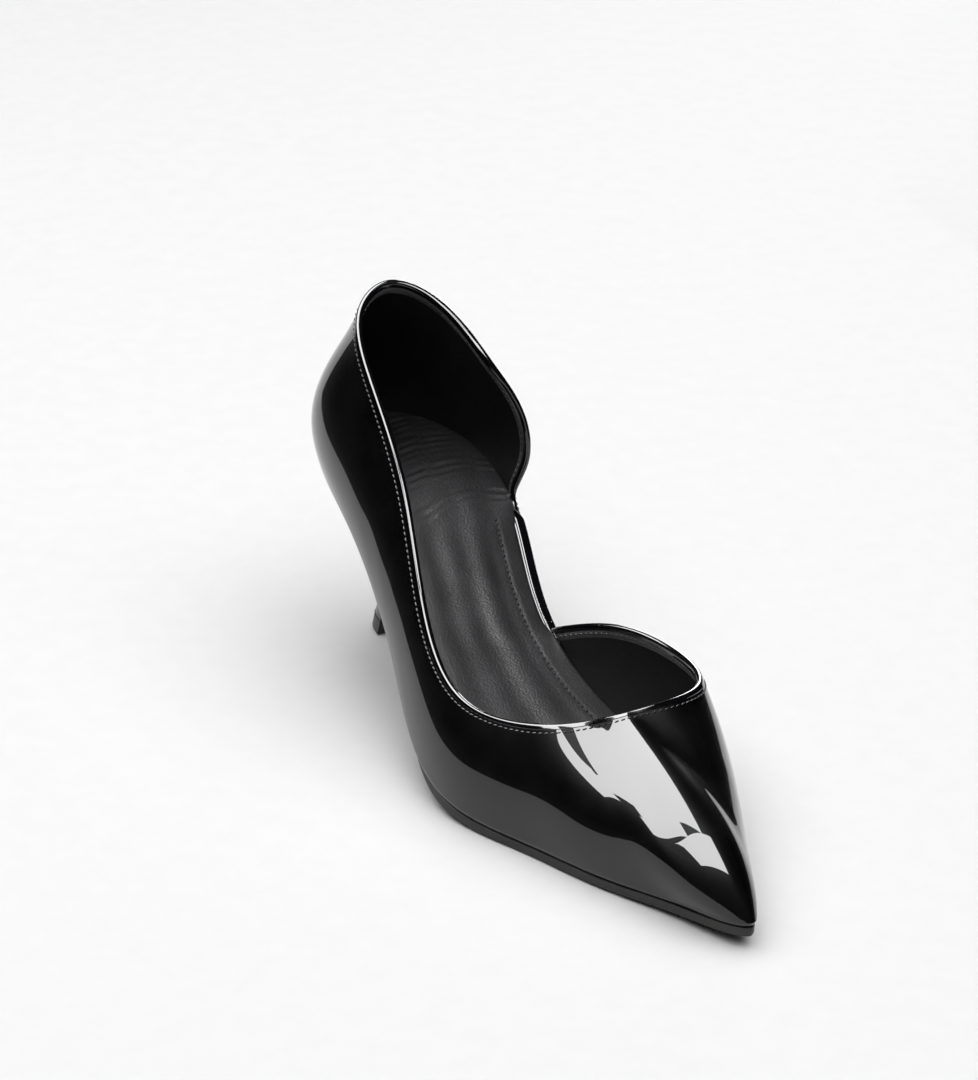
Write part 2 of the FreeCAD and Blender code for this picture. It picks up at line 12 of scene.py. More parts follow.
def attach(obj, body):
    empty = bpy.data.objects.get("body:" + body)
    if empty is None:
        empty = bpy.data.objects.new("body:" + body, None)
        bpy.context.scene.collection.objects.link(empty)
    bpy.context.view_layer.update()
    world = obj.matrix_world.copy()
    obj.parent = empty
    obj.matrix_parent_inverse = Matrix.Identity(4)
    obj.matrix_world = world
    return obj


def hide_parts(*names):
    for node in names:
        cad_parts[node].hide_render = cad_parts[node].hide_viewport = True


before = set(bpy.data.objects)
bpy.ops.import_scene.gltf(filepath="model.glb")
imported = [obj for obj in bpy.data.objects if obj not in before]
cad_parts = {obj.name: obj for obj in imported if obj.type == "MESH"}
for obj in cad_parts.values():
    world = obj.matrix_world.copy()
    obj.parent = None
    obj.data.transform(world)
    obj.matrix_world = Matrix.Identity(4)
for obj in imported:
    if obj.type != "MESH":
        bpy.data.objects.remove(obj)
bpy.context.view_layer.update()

"""Looks of the right shoe of a pair: a pointed, half-open pump in black patent leather.

Shapes are worked out on the shoe's last in millimetres: u runs forward from the heel's
back, w from the outer side (minus) to the inner side (plus), z is the height above the
ground. `to_frame` turns that into the frame's metres.
"""

log = logging.getLogger("pump")
Array = np.ndarray

MID_U = 124.7              # middle of the shoe's length over the ground, mm
MID_W = -1.45              # middle of its width, mm
OUTER_LEATHER = 1.0        # layers of the upper, mm
REINFORCEMENT = 0.4        # cloth or puff between leather and lining, mm
LINING = 0.7
WALL = OUTER_LEATHER + REINFORCEMENT + LINING
PIPING_DROP = 1.1          # raw edges stop this far below the top line
SOLE_JOINT = -1.9          # heights over the feather line: the upper's turned-under face,
PAD_TOP = 3.3              # the foam's top
SOCK_TOP = 4.2             # and the sock's top
MIDDLE_ENDS = (26.0, 226.0)    # u where the underside's middle line starts and ends
LEAN_START = 150.0         # u where that line starts to lean towards the inner side
TOE_LEAN = 6.5             # how far it leans at its toe end, mm
HEEL_BREAST = 47.5         # where the outsole ends against the heel
TOP_PIECE_HEIGHT = 5.0
TURN_WEIGHT = 10.0         # rows per turn of the wall, against rows per millimetre

# Feather line from above: where the upper meets the sole, inner side first.
FEATHER = [
    (0, -1), (5.5, 13.5), (20, 25.5), (42, 31), (70, 28), (100, 22), (130, 27),
    (158, 34), (180, 34), (204, 29), (227, 19.5), (243, 12), (250.5, 6.5),
    (246, 1), (228, -6.5), (203.5, -19), (178.5, -29.5), (153.5, -40.5), (129, -42),
    (100, -36), (70, -31.5), (42, -29), (20, -25), (5, -16),
]
# Height of the feather line along the shoe: seat, waist, ball and toe spring.
FEATHER_HEIGHT = [
    (0, 66), (30, 61), (55, 54), (90, 35.5), (120, 17.5), (145, 7.8), (165, 5),
    (190, 4.9), (220, 6), (246, 8.5),
]
# Top line from the inner wing round throat, outer side and heel to the inner flap:
# feather station below, u, w, z, and the wall's fullness low down and high up.
TOP_LINE = [
    (5.25, 104, 20.5, 31, 0.10, 0.10),
    (6.3, 125.5, 32, 40, 0.20, 0.20),
    (7.4, 152, 38, 42.5, 0.30, 0.30),
    (8.7, 175, 31.5, 45, 0.40, 0.35),
    (10.6, 183.5, 15, 46.5, 0.40, 0.30),
    (12.3, 180.5, -1, 43.5, 0.60, 0.20),
    (14.4, 176.5, -15, 41.5, 0.55, 0.25),
    (16.65, 164, -26, 38, 0.45, 0.35),
    (18.25, 141.5, -33.5, 37, 0.35, 0.30),
    (19.25, 111, -30.5, 50, 0.35, 0.25),
    (20.25, 79, -23, 78, 0.40, 0.20),
    (21.4, 48, -20, 101, 0.55, 0.10),
    (22.7, 25, -14, 117, 0.70, 0.00),
    (24, 19.5, -0.5, 123.5, 0.65, 0.00),
    (25.1, 30.5, 14.5, 117.5, 0.55, 0.05),
    (25.9, 51.5, 22.5, 103, 0.40, 0.20),
    (26.25, 56, 32.5, 85.5, 0.35, 0.25),
    (26.85, 58.5, 34, 67, 0.30, 0.20),
    (27.65, 59.5, 28, 55, 0.20, 0.15),
    (27.92, 66, 27, 49.8, 0.10, 0.10),
]
BACK_ROW = 13              # row of TOP_LINE at the back seam
LINING_ROW = 10            # row where the two linings are joined
# Heel sections from the top piece upward: back u, z, front u, z, half widths.
HEEL_SECTIONS = [
    (24.2, 4.0, 34.4, 4.0, 7.6, 6.4),
    (25.4, 13.0, 33.9, 13.0, 5.9, 4.9),
    (26.2, 26.0, 33.6, 25.0, 5.1, 4.2),
    (25.2, 37.0, 34.0, 35.0, 6.0, 4.9),
    (20.5, 46.0, 36.0, 42.5, 9.5, 7.4),
    (11.5, 53.5, 40.5, 47.0, 17.5, 13.5),
    (4.5, 60.5, 45.5, 51.5, 25.5, 19.0),
    (2.0, 67.0, 47.5, 57.5, 28.5, 21.5),
]


# ---- curves -------------------------------------------------------------------------

class Spline:
    """Cubic spline through points at given knots, natural at its ends or closed."""

    def __init__(self, knots: Array, points: Array, closed: bool = False) -> None:
        """Solve the tridiagonal system for the second derivatives at the knots.

        Args:
            knots: Rising parameter values, one per point.
            points: Points as rows; a closed spline repeats its first point last.
            closed: True when slope and curvature run on through the joint.
        """
        self.t = t = np.asarray(knots, float)
        self.p = p = np.asarray(points, float)
        h = np.diff(t)[:, None]
        rise = np.diff(p, axis=0) / h
        matrix = np.eye(len(t))
        right = np.zeros_like(p)
        inner = np.arange(1, len(t) - 1)
        matrix[inner, inner - 1] = h[:-1, 0]
        matrix[inner, inner] = 2 * (h[:-1, 0] + h[1:, 0])
        matrix[inner, inner + 1] = h[1:, 0]
        right[inner] = 6 * (rise[1:] - rise[:-1])
        if closed:
            for row in (0, -1):
                matrix[row] = 0
                matrix[row, -2] += h[-1, 0]
                matrix[row, row] += 2 * (h[-1, 0] + h[0, 0])
                matrix[row, 1] += h[0, 0]
                right[row] = 6 * (rise[0] - rise[-1])
        self.curve = np.linalg.solve(matrix, right)

    def __call__(self, t: Array) -> Array:
        """Return the points at parameters `t`, one row each."""
        t = np.asarray(t, float)
        i = np.clip(np.searchsorted(self.t, t, side="left") - 1, 0, len(self.t) - 2)
        h = (self.t[i + 1] - self.t[i])[..., None]
        a = (self.t[i + 1] - t)[..., None] / h
        b = (t - self.t[i])[..., None] / h
        bend = (a ** 3 - a) * self.curve[i] + (b ** 3 - b) * self.curve[i + 1]
        return a * self.p[i] + b * self.p[i + 1] + bend * h * h / 6


def centripetal(points: Array) -> Array:
    """Return knots that grow with the square root of each chord."""
    chords = np.linalg.norm(np.diff(np.asarray(points, float), axis=0), axis=1)
    return np.concatenate([[0.0], np.cumsum(np.sqrt(chords))])


def unit(vectors: Array) -> Array:
    """Return the vectors scaled to length one."""
    return vectors / np.linalg.norm(vectors, axis=-1, keepdims=True)


def ease(value: Array, start: float, end: float) -> Array:
    """Return the smooth step 3t² − 2t³ from 0 at `start` to 1 at `end`."""
    t = np.clip((np.asarray(value, float) - start) / (end - start), 0, 1)
    return t * t * (3 - 2 * t)


def plateau(value: Array, rise: tuple[float, float], fall: tuple[float, float]) -> Array:
    """Return 1 between `rise` and `fall`, eased up through the one and down the other."""
    return ease(value, *rise) * (1 - ease(value, *fall))


def ripple(value: Array, seed: int, waves: int = 5) -> Array:
    """Return a smooth uneven wave: a sum of sines with seeded speeds and phases.

    Args:
        value: Where to read it; one unit is about one swell.
        seed: Seed of the speeds and phases.
        waves: How many sines are added.

    Returns:
        Heights of about −1 to 1, in the shape of `value`.
    """
    random = np.random.default_rng(seed)
    speeds = random.uniform(0.6, 2.6, waves)
    phases = random.uniform(0, 2 * math.pi, waves)
    waves_at = np.sin(np.asarray(value, float)[..., None] * speeds * math.pi + phases)
    return waves_at.sum(-1) / math.sqrt(waves)


def middle_line(u: Array) -> Array:
    """Return w of the underside's middle line."""
    return TOE_LEAN * np.clip((u - LEAN_START) / (MIDDLE_ENDS[1] - LEAN_START), 0, 1)


def to_frame(points: Array) -> Array:
    """Return last points (u, w, z in mm) as frame points (x, y, z in metres)."""
    u, w, z = points[..., 0], points[..., 1], points[..., 2]
    return np.stack([w - MID_W, MID_U - u, z], -1) / 1000


# ---- the last -----------------------------------------------------------------------

class Last:
    """The form the shoe is built on: feather line, underside and the wall of the upper."""

    def __init__(self) -> None:
        """Set up the curves from the tables above."""
        loop = FEATHER + FEATHER[:1]
        self.feather_knots = centripetal(loop)
        self.feather_curve = Spline(self.feather_knots, loop, closed=True)
        table = np.array(FEATHER_HEIGHT, float)
        self.height_curve = Spline(table[:, 0], table[:, 1:])
        rows = np.array(TOP_LINE, float)
        chords = centripetal(rows[:, 1:4])
        self.top_knots = chords / chords[-1]
        self.top_curve = Spline(self.top_knots, rows)
        self.back = float(self.top_knots[BACK_ROW])
        self.seam = float(self.top_knots[LINING_ROW])
        self.travel_a = np.linspace(0, 1, 1201)
        top, foot, out = self.top_foot(self.travel_a)
        moves = [np.linalg.norm(np.diff(part, axis=0), axis=1) for part in (top, foot, out)]
        gain = moves[0] + moves[1] + TURN_WEIGHT * moves[2]
        self.travel_m = np.concatenate([[0.0], np.cumsum(gain)])

    def slope(self, u: Array) -> Array:
        """Return the rise of the feather profile over one millimetre around `u`."""
        return self.height_curve(u + 0.5)[..., 0] - self.height_curve(u - 0.5)[..., 0]

    def height(self, u: Array, above: Array = 0.0) -> Array:
        """Return z of the surface `above` the feather line, measured square to it."""
        return self.height_curve(u)[..., 0] + above * np.hypot(1.0, self.slope(u))

    def seat_normal(self, u: Array) -> Array:
        """Return the upward direction square to the feather profile at `u`."""
        slope = self.slope(u)
        return unit(np.stack([-slope, np.zeros_like(slope), np.ones_like(slope)], -1))

    def feather(self, station: Array) -> tuple[Array, Array]:
        """Return feather points at stations, and the level directions out of the shoe."""
        station = np.asarray(station, float) % len(FEATHER)
        i = np.minimum(station.astype(int), len(FEATHER) - 1)
        knots = self.feather_knots
        t = knots[i] + (station - i) * (knots[i + 1] - knots[i])
        point = self.feather_curve(t)
        ahead = self.feather_curve((t + 0.01) % knots[-1])
        behind = self.feather_curve((t - 0.01) % knots[-1])
        step = ahead - behind
        out = unit(np.stack([-step[..., 1], step[..., 0], np.zeros_like(t)], -1))
        u, w = point[..., 0], point[..., 1]
        return np.stack([u, w, self.height(u)], -1), out

    def under(self, point: Array, distance: Array, above: Array) -> Array:
        """Return underside points: `distance` in from feather points, `above` their height."""
        u = np.clip(point[..., 0], *MIDDLE_ENDS)
        lead = unit(np.stack([u - point[..., 0], middle_line(u) - point[..., 1]], -1))
        flat = point[..., :2] + lead * np.asarray(distance, float)[..., None]
        return np.concatenate([flat, self.height(flat[..., 0], above)[..., None]], -1)

    def top_foot(self, a: Array) -> tuple[Array, Array, Array]:
        """Return top line points, feather points below them and outward directions."""
        row = self.top_curve(a)
        foot, out = self.feather(row[..., 0])
        return row[..., 1:4], foot, out

    def wall(self, a: Array, b: Array) -> Array:
        """Return points of the upper's outer face.

        A cubic arc runs from the top line T to the feather line F. Its inner poles lie a
        third of the chord along it, each pushed out by the fullness at its end.

        Args:
            a: Place along the top line, 0 at the inner wing, 1 at the inner flap.
            b: Place down the wall, 0 at the top line, 1 at the feather line.

        Returns:
            Points (u, w, z), in the shape of `a` and `b` broadcast together.
        """
        a, b = np.broadcast_arrays(np.asarray(a, float), np.asarray(b, float))
        row = self.top_curve(a)
        foot, out = self.feather(row[..., 0])
        top = row[..., 1:4]
        low, high = row[..., 4:5], row[..., 5:6]
        chord = foot - top
        length = np.linalg.norm(chord, axis=-1, keepdims=True)
        along = chord / length
        bulge = unit(out - along * (out * along).sum(-1, keepdims=True))
        second = top + (along + bulge * high) * length / 3
        third = foot + (bulge * low - along) * length / 3
        b = b[..., None]
        c = 1 - b
        return top * c ** 3 + second * (3 * c * c * b) + third * (3 * c * b * b) + foot * b ** 3

    def wall_frame(self, a: Array, b: Array) -> tuple[Array, Array, Array]:
        """Return wall points, directions into the shoe and directions up the wall."""
        e = 1e-4
        up = unit(self.wall(a, b - e) - self.wall(a, b + e))
        along = self.wall(a + e, b) - self.wall(a - e, b)
        return self.wall(a, b), -unit(np.cross(up, along)), up

    def layer(self, a: Array, b: Array, depth: Array = 0.0) -> Array:
        """Return wall points moved `depth` mm into the shoe."""
        point, into, _ = self.wall_frame(a, b)
        return point + into * np.asarray(depth, float)[..., None]

    def wall_length(self, a: Array) -> Array:
        """Return the length of the wall's arc at each `a`."""
        points = self.wall(np.asarray(a)[..., None], np.linspace(0, 1, 13))
        return np.linalg.norm(np.diff(points, axis=-2), axis=-1).sum(-1)

    def rows(self, start: float, end: float, spacing: float) -> Array:
        """Return values of `a` from start to end, closer together where the wall turns."""
        first, last = np.interp([start, end], self.travel_a, self.travel_m)
        count = max(8, math.ceil((last - first) / spacing))
        return np.interp(np.linspace(first, last, count + 1), self.travel_m, self.travel_a)

    def outline(self, inset: Array, stations: Array) -> Array:
        """Return points parallel to the feather line, `inset` inside it."""
        foot, out = self.feather(stations)
        return foot - out * np.asarray(inset, float)[..., None]


LAST = Last()


# ---- meshes -------------------------------------------------------------------------

def quads(rows: int, columns: int, around: bool = False, first: int = 0) -> Array:
    """Return the quads of a grid of vertices laid out row by row.

    Args:
        rows: Number of rows.
        columns: Number of vertices in a row.
        around: True when each row is a closed loop.
        first: Index of the grid's first vertex.

    Returns:
        One row of four vertex indices per quad.
    """
    i, j = np.meshgrid(np.arange(rows - 1), np.arange(columns if around else columns - 1),
                       indexing="ij")
    here, over = i * columns + j, i * columns + (j + 1) % columns
    faces = np.stack([here, over, over + columns, here + columns], -1)
    return faces.reshape(-1, 4) + first


def hang(name: str, data: bpy.types.ID) -> bpy.types.Object:
    """Return a new object of this name that holds `data`, linked to the scene."""
    item = bpy.data.objects.new(name, data)
    bpy.context.scene.collection.objects.link(item)
    return item


def signed_volume(points: Array, faces: Array) -> float:
    """Return the volume inside a closed mesh, negative when its faces point inwards."""
    total = 0.0
    for corners in ((0, 1, 2), (0, 2, 3)):
        a, b, c = (points[faces[:, k]] for k in corners)
        total += float((a * np.cross(b, c)).sum() / 6)
    return total


class Builder:
    """Collects grids of points and turns them into one finished object."""

    def __init__(self, name: str) -> None:
        """Start an empty piece of this name."""
        self.name = name
        self.points: list[Array] = []
        self.faces: list[Array] = []
        self.count = 0

    def add(self, points: Array, faces: Array) -> None:
        """Add a closed mesh, turned so that its faces point outwards.

        Args:
            points: Vertices in last coordinates, one row each.
            faces: Quads as vertex indices from zero; a triangle repeats its last corner.
        """
        if signed_volume(points - points.mean(0), faces) < 0:
            faces = faces[:, ::-1]
        self.points.append(points)
        self.faces.append(faces + self.count)
        self.count += len(points)

    def shell(self, outer: Array, inner: Array) -> None:
        """Add the solid between two grids, with walls along its rim.

        Args:
            outer: Grid of points, rows by columns by 3.
            inner: Grid of the same size on the other side.
        """
        n, m = outer.shape[:2]
        back = quads(n, m, first=n * m)[:, ::-1]
        index = np.arange(n * m).reshape(n, m)
        rim = np.concatenate([index[0, :-1], index[:-1, -1], index[-1, :0:-1], index[:0:-1, 0]])
        after = np.roll(rim, -1)
        wall = np.stack([after, rim, rim + n * m, after + n * m], -1)
        points = np.concatenate([outer.reshape(-1, 3), inner.reshape(-1, 3)])
        self.add(points, np.concatenate([quads(n, m), back, wall]))

    def tube(self, rings: Array) -> None:
        """Add a solid through closed rings; its ends are filled round their middles.

        Args:
            rings: Rings of points, rings by points by 3.
        """
        n, m = rings.shape[:2]
        ends = np.stack([rings[0].mean(0), rings[-1].mean(0)])
        faces = [quads(n, m, around=True)]
        for ring, middle in ((np.arange(m)[::-1], n * m), (np.arange(m) + (n - 1) * m, n * m + 1)):
            hub = np.full(m, middle)
            faces.append(np.stack([ring, np.roll(ring, -1), hub, hub], -1))
        self.add(np.concatenate([rings.reshape(-1, 3), ends]), np.concatenate(faces))

    def finish(self, material: bpy.types.Material, slot: str, replaced: tuple[str, ...] = (),
               sharp: float = 35.0) -> bpy.types.Object:
        """Make the object, dress it, and tie it to the frame.

        Args:
            material: Its finish.
            slot: The record's material slot; not used.
            replaced: CAD nodes it stands for.
            sharp: Edges turning by more than this many degrees stay crisp.

        Returns:
            The finished object, at the origin and unturned.
        """
        points = to_frame(np.concatenate(self.points))
        faces = [tuple(dict.fromkeys(face)) for face in np.concatenate(self.faces).tolist()]
        mesh = bpy.data.meshes.new(self.name)
        mesh.from_pydata(points.tolist(), [], faces)
        mesh.validate()
        mesh.shade_smooth()
        mesh.set_sharp_from_angle(angle=math.radians(sharp))
        mesh.materials.append(material)
        piece = hang(self.name, mesh)
        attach(piece, "root")
        if replaced:
            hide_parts(*replaced)
        log.info("%s: %d faces", self.name, len(mesh.polygons))
        return piece


# ---- finishes -----------------------------------------------------------------------

def linear(colour: str) -> tuple[float, float, float, float]:
    """Return an sRGB hex colour as linear red, green, blue and alpha."""
    channels = [int(colour[i:i + 2], 16) / 255 for i in (1, 3, 5)]
    return tuple(c / 12.92 if c <= 0.04045 else ((c + 0.055) / 1.055) ** 2.4
                 for c in channels) + (1.0,)


def add_node(tree: bpy.types.NodeTree, kind: str, settings: dict | None = None,
             links: dict | None = None) -> bpy.types.Node:
    """Add a node.

    Args:
        tree: The material's node tree.
        kind: Blender's name for the node's type.
        settings: Values by input socket, by name or number, or by the node's own property.
        links: Output sockets to join to input sockets, by name or number.

    Returns:
        The new node.
    """
    node = tree.nodes.new(kind)
    for key, value in (settings or {}).items():
        if isinstance(key, str) and hasattr(node, key):
            setattr(node, key, value)
        else:
            node.inputs[key].default_value = value
    for key, source in (links or {}).items():
        tree.links.new(source, node.inputs[key])
    return node


class Pattern(Enum):
    """What a surface's relief is made of."""

    ORANGE_PEEL = "orange peel of a poured lacquer"
    GRAIN = "pebbled leather grain"
    FIBRE = "loose fibres or felt"
    BRUSHED = "fine lines along the surface"
    WOVEN = "plain weave"


@dataclass(frozen=True)
class Finish:
    """A material's colours, gloss and relief.

    `scale_mm` is the size of one mark of the pattern and `depth_mm` its height.
    """

    name: str
    base: str
    shade: str
    roughness: float
    pattern: Pattern
    scale_mm: float
    depth_mm: float
    roughness_spread: float = 0.05
    metallic: float = 0.0
    ior: float = 1.5
    coat: float = 0.0
    coat_roughness: float = 0.03
    coat_ior: float = 1.5
    specular: float = 0.5
    sheen: float = 0.0
    fine_scale_mm: float = 0.0
    fine_depth_mm: float = 0.0
    mottle_mm: float = 11.0
    mottle_stretch: float = 1.0

    def relief(self, tree: bpy.types.NodeTree, place: bpy.types.NodeSocket) -> bpy.types.NodeSocket:
        """Return the socket of the pattern's height, from 0 to 1."""
        per_metre = 1000 / self.scale_mm
        if self.pattern is Pattern.GRAIN:
            cells = add_node(tree, "ShaderNodeTexVoronoi",
                             {"feature": "SMOOTH_F1", "Scale": per_metre, "Smoothness": 0.35,
                              "Randomness": 1.0}, {"Vector": place})
            return cells.outputs["Distance"]
        if self.pattern is Pattern.BRUSHED:
            stretch = add_node(tree, "ShaderNodeMapping", {"Scale": (1.0, 0.04, 1.0)},
                               {"Vector": place})
            lines = add_node(tree, "ShaderNodeTexNoise", {"Scale": per_metre, "Detail": 4.0},
                             {"Vector": stretch.outputs["Vector"]})
            return lines.outputs["Fac"]
        if self.pattern is Pattern.WOVEN:
            waves = [add_node(tree, "ShaderNodeTexWave",
                              {"bands_direction": axis, "Scale": per_metre / 3.2,
                               "Distortion": 0.4, "Detail": 1.0}, {"Vector": place})
                     for axis in ("X", "Y")]
            weave = add_node(tree, "ShaderNodeMath", {"operation": "MULTIPLY"},
                             {0: waves[0].outputs["Fac"], 1: waves[1].outputs["Fac"]})
            return weave.outputs["Value"]
        detail = 6.0 if self.pattern is Pattern.FIBRE else 1.5
        noise = add_node(tree, "ShaderNodeTexNoise",
                         {"Scale": per_metre / 2, "Detail": detail, "Roughness": 0.5},
                         {"Vector": place})
        return noise.outputs["Fac"]

    def build(self) -> bpy.types.Material:
        """Return the material: a principled shader with mottled colour, gloss and relief."""
        material = bpy.data.materials.new(self.name)
        material.use_nodes = True
        tree = material.node_tree
        tree.nodes.clear()
        place = add_node(tree, "ShaderNodeTexCoord").outputs["Object"]
        height = self.relief(tree, place)
        along = add_node(tree, "ShaderNodeMapping", {"Scale": (1.0, self.mottle_stretch, 1.0)},
                         {"Vector": place})
        mottle = add_node(tree, "ShaderNodeTexNoise",
                          {"Scale": 1000 / self.mottle_mm, "Detail": 3.0},
                          {"Vector": along.outputs["Vector"]})
        colour = add_node(tree, "ShaderNodeMix", {"data_type": "RGBA"})
        colour.inputs[6].default_value = linear(self.base)
        colour.inputs[7].default_value = linear(self.shade)
        share = add_node(tree, "ShaderNodeMapRange",
                         {"From Min": 0.3, "From Max": 0.7, "To Min": 0.0, "To Max": 1.0},
                         {"Value": mottle.outputs["Fac"]})
        tree.links.new(share.outputs["Result"], colour.inputs[0])
        gloss = add_node(tree, "ShaderNodeMapRange",
                         {"From Min": 0.3, "From Max": 0.7,
                          "To Min": max(0.0, self.roughness - self.roughness_spread),
                          "To Max": self.roughness + self.roughness_spread},
                         {"Value": mottle.outputs["Fac"]})
        bump = add_node(tree, "ShaderNodeBump",
                        {"Strength": 1.0, "Distance": self.depth_mm / 1000}, {"Height": height})
        if self.fine_depth_mm:
            fine = add_node(tree, "ShaderNodeTexNoise",
                            {"Scale": 500 / self.fine_scale_mm, "Detail": 2.0}, {"Vector": place})
            bump = add_node(tree, "ShaderNodeBump",
                            {"Strength": 1.0, "Distance": self.fine_depth_mm / 1000},
                            {"Height": fine.outputs["Fac"], "Normal": bump.outputs["Normal"]})
        shader = add_node(tree, "ShaderNodeBsdfPrincipled",
                          {"Metallic": self.metallic, "IOR": self.ior,
                           "Coat Weight": self.coat, "Coat Roughness": self.coat_roughness,
                           "Coat IOR": self.coat_ior, "Sheen Weight": self.sheen,
                           "Specular IOR Level": self.specular},
                          {"Base Color": colour.outputs[2], "Roughness": gloss.outputs["Result"],
                           "Normal": bump.outputs["Normal"]})
        add_node(tree, "ShaderNodeOutputMaterial", links={"Surface": shader.outputs["BSDF"]})
        return material


# Patent leather is split cowhide under a poured, mirror-like polyurethane film. The film
# follows the hide's slow swells, so reflections are sharp but their edges wander a little.
# The dyed hide under the film hardly shines of itself, because the film wets it.
PATENT = Finish("patent_leather_black", "#050506", "#08080a", 0.35, Pattern.ORANGE_PEEL,
                7.0, 0.030, roughness_spread=0.04, specular=0.06, coat=1.0, coat_roughness=0.015,
                coat_ior=1.49, fine_scale_mm=1.6, fine_depth_mm=0.0016)
# The same film on a narrow folded strip: creased fibres under it break the gloss slightly.
PATENT_FOLD = Finish("patent_leather_folded", "#08080a", "#0d0d10", 0.12, Pattern.ORANGE_PEEL,
                     2.4, 0.020, roughness_spread=0.04, specular=0.2, coat=0.9, coat_roughness=0.05,
                     fine_scale_mm=0.7, fine_depth_mm=0.004)
# Smooth lining leather, drum dyed and left matte: almost no shine, tight grain. Its near-zero colour
# is darker than the black leather itself: partly the lining's own black, partly painted shade for the
# dark inside of the shoe.
LINING_LEATHER_AND_SHADE = Finish("lining_leather_and_painted_shade", "#020202", "#040405", 0.75, Pattern.GRAIN,
                        0.9, 0.035, roughness_spread=0.07, specular=0.10)
# Facing band of plated calf: the pressed grain gives a satin, dark grey sheen.
FACING = Finish("facing_leather_satin", "#2c2c2f", "#37373a", 0.45, Pattern.GRAIN,
                0.7, 0.030, roughness_spread=0.06, sheen=0.1)
# Sock of glazed kid: fine pores, soft satin light on every swell, duller where it is worn.
SOCK_LEATHER = Finish("sock_leather_glazed", "#161618", "#1f1f22", 0.36, Pattern.GRAIN,
                      0.8, 0.06, roughness_spread=0.03, coat=0.35, coat_roughness=0.30,
                      fine_scale_mm=2.2, fine_depth_mm=0.03, mottle_stretch=0.15)
# Bonded polyester thread: twisted filaments with a slight waxy shine.
THREAD = Finish("bonded_thread", "#1b1b1e", "#2a2a2e", 0.38, Pattern.FIBRE, 0.4, 0.02)
# The same thread made black and dull where it sinks into the sock's channel: painted shade that stands
# for the dark needle holes, seen as dark pricks.
PAINTED_SHADE_THREAD = Finish("bonded_thread_painted_shade", "#020202", "#050505", 0.7, Pattern.FIBRE, 0.4, 0.02,
                     specular=0.2)
# Outsole of moulded resin rubber, its edge scoured and inked: dark brown-grey, low gloss.
SOLE_RUBBER = Finish("outsole_rubber_scoured", "#110f0e", "#1b1816", 0.48, Pattern.BRUSHED,
                     1.0, 0.06, roughness_spread=0.08, fine_scale_mm=0.8, fine_depth_mm=0.01)
# Top piece of cast polyurethane: hard, slightly waxy, scuffed by walking.
TOP_PIECE_PU = Finish("top_piece_polyurethane", "#121212", "#1c1c1c", 0.4, Pattern.FIBRE,
                      0.9, 0.02, roughness_spread=0.1)
# Injection-moulded ABS of the heel block: smooth with faint flow marks.
HEEL_ABS = Finish("heel_block_abs", "#1a1a1a", "#202020", 0.35, Pattern.ORANGE_PEEL, 5.0, 0.01)
# Non-woven reinforcement: matted white-grey fibres stiffened with resin.
NON_WOVEN = Finish("non_woven_reinforcement", "#b9b4a8", "#cfcabf", 0.9, Pattern.WOVEN, 0.8, 0.05)
# Thermoplastic sheet of puff and counter: milky, smooth, softened over the last.
THERMOPLASTIC = Finish("thermoplastic_sheet", "#cdbf9f", "#dccfae", 0.5, Pattern.FIBRE, 1.5, 0.02)
# Insole fibreboard: pressed cellulose, dull tan with darker specks.
FIBREBOARD = Finish("insole_fibreboard", "#8a6a48", "#a07e58", 0.85, Pattern.FIBRE, 1.2, 0.05)
# Latex foam of the pads: open cells on a cut face.
FOAM = Finish("latex_foam", "#2b2b2d", "#363638", 0.95, Pattern.GRAIN, 0.8, 0.15)
# Bottom filler of bound cork crumb.
CORK = Finish("cork_filler", "#6b4a2f", "#8c6743", 0.9, Pattern.GRAIN, 2.0, 0.2)
# Tempered spring steel: grey, rolled, faint lines along it.
STEEL = Finish("tempered_steel", "#8c8f92", "#a2a5a8", 0.32, Pattern.BRUSHED, 0.5, 0.005,
               metallic=1.0)

# Pieces sealed inside the shoe keep their CAD shape and take these finishes.
INNER_FINISHES: dict[str, Finish] = {
    "topline_tape": NON_WOVEN,
    "toe_puff": THERMOPLASTIC,
    "heel_counter": THERMOPLASTIC,
    "inner_wing_interlining": NON_WOVEN,
    "outer_side_interlining": NON_WOVEN,
    "insole_board": FIBREBOARD,
    "shank_board": FIBREBOARD,
    "steel_shank": STEEL,
    "shank_rivets": STEEL,
    "bottom_filler": CORK,
    "heel_screw": STEEL,
    "heel_nails": STEEL,
    "heel_block": HEEL_ABS,
    "heel_tube": STEEL,
    "top_piece_dowel": STEEL,
}


class Finishes:
    """Makes each finish's material once and hands it out."""

    def __init__(self) -> None:
        """Start with no materials made."""
        self.made: dict[str, bpy.types.Material] = {}

    def get(self, finish: Finish) -> bpy.types.Material:
        """Return the material of a finish, made on first use."""
        if finish.name not in self.made:
            self.made[finish.name] = finish.build()
        return self.made[finish.name]


FINISHES = Finishes()


# ---- stitching ----------------------------------------------------------------------

